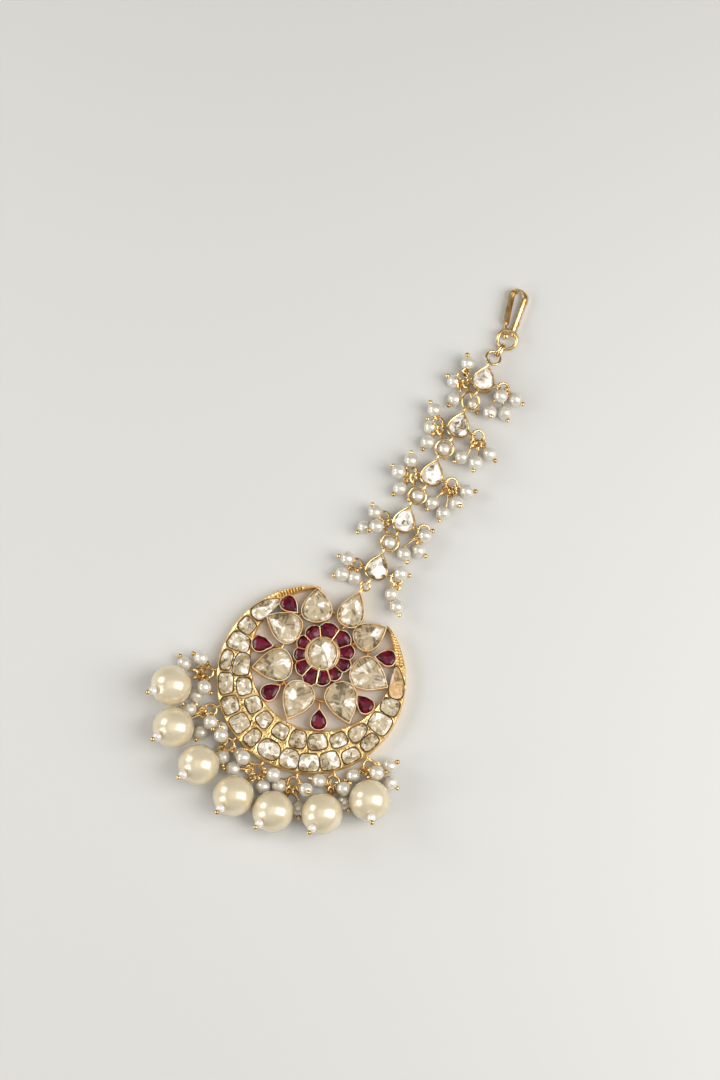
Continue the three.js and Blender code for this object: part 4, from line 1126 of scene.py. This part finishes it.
def link_place(link):
    """Stands a link in its place, tipped about its cross axis."""
    rise = LINK["length"] / 2 * math.sin(math.radians(link["tip"]))
    there = Matrix.Translation(Vector((link["x"], link["y"], LINK_LIFT + rise)) * mm)
    turned = Matrix.Rotation(math.radians(link["heading"]), 4, "Z")
    return there @ turned @ Matrix.Rotation(math.radians(link["tip"]), 4, "Y")


chain_polki = polki_finish("chain_polki", (0.46, 0.36, 0.24), (0.78, 0.70, 0.56), 0.9 * mm, 0.6)
link_box = pear_bezel("link_box", LINK, 64, LINK_WALL)
for number, link in enumerate(LINKS, 1):
    parts = [copied(link_box, Matrix())]
    for spot in LOOP_SPOTS.values():
        middle = Vector((spot["x"], spot["y"], LINK_LOOP_HEIGHT))
        parts.append(loop_at(middle, spot["turn"]))
        foot = middle - heading_vector(spot["turn"]) * LOOP_FOOT["back"]
        parts.append(ball_at(foot, LOOP_FOOT["radius"]))
    body = joined(f"chain_link_{number}", parts, wire_gold)
    body.data.transform(link_place(link))
    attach(body, "root")
    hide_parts(f"link_{number}")
    stone = cut_stone("plate", pear_outline(LINK, LINK_FIT, 40), LINK_CUT)
    stone = joined(f"chain_stone_{number}", [stone], chain_polki, faceted=True)
    stone.data.transform(link_place(link))
    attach(stone, "root")
    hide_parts(f"link_stone_{number}")

# ==== the jump rings that join the links ====
# Round gold wire, closed through the soldered loops.
CHAIN_WIRE = 0.27
LOOP_END = 0.43


def loop_place(link, spot, beyond):
    """A place beyond one of a link's loops, in millimetres."""
    local = Vector((spot["x"], spot["y"], LINK_LOOP_HEIGHT)) + heading_vector(spot["turn"]) * beyond
    return link_place(link) @ (local * mm) / mm


def chain_ring(number, start, end):
    """A jump ring whose wire passes through two places."""
    way = end - start
    heading = math.atan2(way.y, way.x)
    tilt = -math.asin(way.z / way.length)
    turned = Matrix.Rotation(heading, 4, "Z") @ Matrix.Rotation(tilt, 4, "Y")
    ring = wire_ring(way.length / 2, CHAIN_WIRE, 48, 12)
    ring.data.transform(Matrix.Translation((start + end) / 2 * mm) @ turned)
    ring = joined(f"jump_ring_{number}", [ring], wire_gold)
    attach(ring, "root")
    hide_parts(f"chain_ring_{number}")


HOOK_LINK = {"place": Vector((0.0, 78.65, 1.3)), "reach": 1.5, "rise": 0.95, "heading": 85}
lower = TOP_LOOP + Vector((0, LOOP_END, 0))
for number, link in enumerate(LINKS, 1):
    chain_ring(number, lower, loop_place(link, LOOP_SPOTS["heel"], LOOP_END))
    lower = loop_place(link, LOOP_SPOTS["point"], LOOP_END)
upper = HOOK_LINK["place"] - heading_vector(HOOK_LINK["heading"]) * (HOOK_LINK["reach"] - 0.6)
chain_ring(6, lower, upper)

# ==== the bunches of small pearls beside the links ====
# Like those of the pendant. From the second link up, one pearl of the left bunch lies under the
# ring below the link.
LINK_CLUSTERS = [
    {
        "left": [
            {"x": -6.7, "y": -1.8, "z": 2.8, "pin": -166, "lift": 5},
            {"x": -6.0, "y": -5.2, "z": 2.0, "pin": -140, "lift": 5},
            {"x": -3.3, "y": -4.4, "z": 1.6, "pin": 100, "lift": 40},
        ],
        "right": [
            {"x": 5.1, "y": 1.2, "z": 2.6, "pin": 16, "lift": 5},
            {"x": 5.6, "y": -3.6, "z": 1.6, "pin": -60, "lift": 0},
            {"x": 8.0, "y": -5.6, "z": 2.4, "pin": -43, "lift": 10},
        ],
    },
    {
        "left": [
            {"x": -6.5, "y": -1.9, "z": 2.6, "pin": 140, "lift": 30},
            {"x": -6.8, "y": -5.9, "z": 2.2, "pin": -115, "lift": 5},
            {"x": -4.5, "y": -4.7, "z": 4.3, "pin": -120, "lift": 10},
        ],
        "right": [
            {"x": 5.6, "y": -0.9, "z": 2.5, "pin": 60, "lift": 10},
            {"x": 6.0, "y": -4.4, "z": 1.6, "pin": -10, "lift": 10},
            {"x": 3.7, "y": -6.8, "z": 2.6, "pin": -40, "lift": 10},
        ],
    },
    {
        "left": [
            {"x": -5.5, "y": 0.0, "z": 2.6, "pin": 120, "lift": 30},
            {"x": -6.6, "y": -3.6, "z": 3.0, "pin": 166, "lift": 5},
            {"x": -4.5, "y": -6.6, "z": 2.0, "pin": -110, "lift": 5},
        ],
        "right": [
            {"x": 8.5, "y": 0.2, "z": 2.0, "pin": 30, "lift": 5},
            {"x": 8.0, "y": -3.4, "z": 3.2, "pin": -20, "lift": 55},
            {"x": 6.4, "y": -6.6, "z": 2.0, "pin": -89, "lift": 5},
            {"x": 3.2, "y": -5.7, "z": 1.6, "pin": -100, "lift": 5},
        ],
    },
    {
        "left": [
            {"x": -6.5, "y": 0.4, "z": 2.6, "pin": 150, "lift": 10},
            {"x": -5.4, "y": -3.2, "z": 1.6, "pin": 139, "lift": 10},
            {"x": -4.2, "y": -6.6, "z": 2.2, "pin": -95, "lift": 5},
        ],
        "right": [
            {"x": 4.0, "y": -5.8, "z": 2.4, "pin": -119, "lift": 5},
            {"x": 7.3, "y": -5.5, "z": 3.2, "pin": -78, "lift": 10},
            {"x": 8.9, "y": -2.1, "z": 2.0, "pin": -20, "lift": 5},
        ],
    },
    {
        "left": [
            {"x": -4.9, "y": 1.8, "z": 2.4, "pin": 125, "lift": 10},
            {"x": -5.6, "y": -3.2, "z": 2.0, "pin": 170, "lift": 10},
            {"x": -3.5, "y": -6.6, "z": 1.6, "pin": -105, "lift": 5},
        ],
        "right": [
            {"x": 5.1, "y": -1.2, "z": 3.4, "pin": 80, "lift": 10},
            {"x": 8.2, "y": 0.0, "z": 2.2, "pin": -5, "lift": 5},
            {"x": 7.6, "y": -3.7, "z": 1.8, "pin": -41, "lift": 5},
            {"x": 4.8, "y": -5.6, "z": 3.2, "pin": -46, "lift": 50},
        ],
    },
]
CAUGHT = [
    {"side": 0, "pin": -45}, {"side": 0, "pin": -130}, {"side": 0, "pin": -55}, {"side": 1.0, "pin": -40},
]
BUNCH_TILT = 15
for number, (link, bunches) in enumerate(zip(LINKS, LINK_CLUSTERS), 1):
    for side, pearls in bunches.items():
        spot = LOOP_SPOTS[side]
        bearing = loop_place(link, spot, LOOP_END)
        heading = link["heading"] + spot["turn"]
        tilt = math.radians(BUNCH_TILT)
        ring = bearing + heading_vector(heading) * RING["radius"] * math.cos(tilt)
        ring.z -= RING["radius"] * math.sin(tilt)
        hung = [{**pearl, "x": pearl["x"] + link["x"], "y": pearl["y"] + link["y"]} for pearl in pearls]
        if side == "left" and number > 1:
            caught = CAUGHT[number - 2]
            below = loop_place(LINKS[number - 2], LOOP_SPOTS["point"], LOOP_END)
            middle = (below + loop_place(link, LOOP_SPOTS["heel"], LOOP_END)) / 2
            hung.append({"x": middle.x + caught["side"], "y": middle.y, "z": SMALL_PEARL,
                         "pin": caught["pin"], "lift": 0})
        name = f"link_bunch_{number}_{side}"
        pearl_bunch(name, f"link_cluster_{number}_{side}", ring, heading, BUNCH_TILT, hung)

# ==== the hook and the doubled link that joins it to the chain ====
# A half-round gold strip bent into a long loop, soldered to a round ring. Its springy end slips
# behind the ring and finishes in a knob. The link is two turns of wire pressed side by side.
TURN = {"radius": 1.4, "wire": 0.25, "aside": 0.26}
oval = Matrix.Diagonal((HOOK_LINK["reach"] / TURN["radius"], HOOK_LINK["rise"] / TURN["radius"], 1, 1))
turned = Matrix.Rotation(math.radians(HOOK_LINK["heading"]), 4, "Z")
link_middle = Matrix.Translation(HOOK_LINK["place"] * mm)
turns_of_wire = []
for side in (-1, 1):
    aside = Matrix.Translation(Vector((0, side * TURN["aside"], 0)) * mm)
    turn_of_wire = wire_ring(TURN["radius"], TURN["wire"], 40, 10)
    turn_of_wire.data.transform(link_middle @ turned @ aside @ UPRIGHT @ oval)
    turns_of_wire.append(turn_of_wire)
doubled = joined("doubled_link", turns_of_wire, wire_gold)
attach(doubled, "root")
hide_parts("hook_link")

HOOK_RING = {"place": Vector((0.2, 81.45, 1.75)), "radius": 2.1, "wire": 0.4, "tilt": 12}
BEND = {"place": Vector((-2.4, 91.2, 1.2)), "radius": 1.7}
RIGHT_FOOT = Vector((0.7, 83.4, 1.2))
LEFT_FOOT = Vector((-1.9, 84.2, 1.2))
STRIP = {"thick": 0.6, "wide": 1.7, "lean": 50, "flat_side": 0.3}
HALF_BEND = 84
LEG = 0.3
ahead = (BEND["place"] - (RIGHT_FOOT + LEFT_FOOT) / 2).normalized()
hook_heading = math.degrees(math.atan2(ahead.y, ahead.x))


def strip_route(share):
    """Where the strip's middle is: up the right leg, round the bend and down the left leg."""
    bent = min(1.0, max(0.0, (share - LEG) / (1 - 2 * LEG)))
    turn = hook_heading + between(-HALF_BEND, HALF_BEND, bent)
    on_bend = BEND["place"] + heading_vector(turn) * BEND["radius"]
    if share < LEG:
        return RIGHT_FOOT.lerp(on_bend, share / LEG)
    if share > 1 - LEG:
        return on_bend.lerp(LEFT_FOOT, (share - 1 + LEG) / LEG)
    return on_bend


def strip_corner(u, v):
    """The half-round strip: u goes round its section, flat side first, and v along its length."""
    onward = (strip_route(min(1, v + 0.01)) - strip_route(max(0, v - 0.01))).normalized()
    outward = Vector((onward.y, -onward.x, 0))
    lean = Matrix.Rotation(math.radians(-STRIP["lean"]), 3, ahead)
    flat = STRIP["flat_side"]
    if u < flat:
        wide = between(-0.5, 0.5, u / flat)
        thick = -0.4
    else:
        turned = math.pi * (u - flat) / (1 - flat)
        wide = 0.5 * math.cos(turned)
        thick = -0.4 + 0.85 * math.sin(turned) ** 0.8
    end = 0 if v in (0, 1) else 1
    section = Vector((0, 0, 1)) * wide * STRIP["wide"] * end + outward * thick * STRIP["thick"] * end
    return strip_route(v) + lean @ section


hook_parts = [formed("strip", 28, 60, strip_corner)]
round_ring = wire_ring(HOOK_RING["radius"], HOOK_RING["wire"], 56, 16)
tilted = Matrix.Rotation(math.radians(-HOOK_RING["tilt"]), 4, "Y")
quarter_turn = Matrix.Rotation(math.radians(90), 4, "Z")
round_ring.data.transform(Matrix.Translation(HOOK_RING["place"] * mm) @ quarter_turn @ tilted)
KNOB = Vector((-0.5, 82.1, 1.15))
hook_parts += [
    round_ring,
    ball_at(RIGHT_FOOT + Vector((0.15, -0.15, 0.35)), 0.72),
    bar(LEFT_FOOT + Vector((0, 0.2, -0.45)), KNOB, 0.32),
    ball_at(KNOB, 0.78),
]
spring_hook = joined("spring_hook", hook_parts, wire_gold)
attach(spring_hook, "root")
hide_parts("hook")

# ==== what is left over ====
for pattern in (solder, loop, eye_ring, neck_wrap, bunch_ring, grain, big, small, seed, link_box):
    bpy.data.objects.remove(pattern)
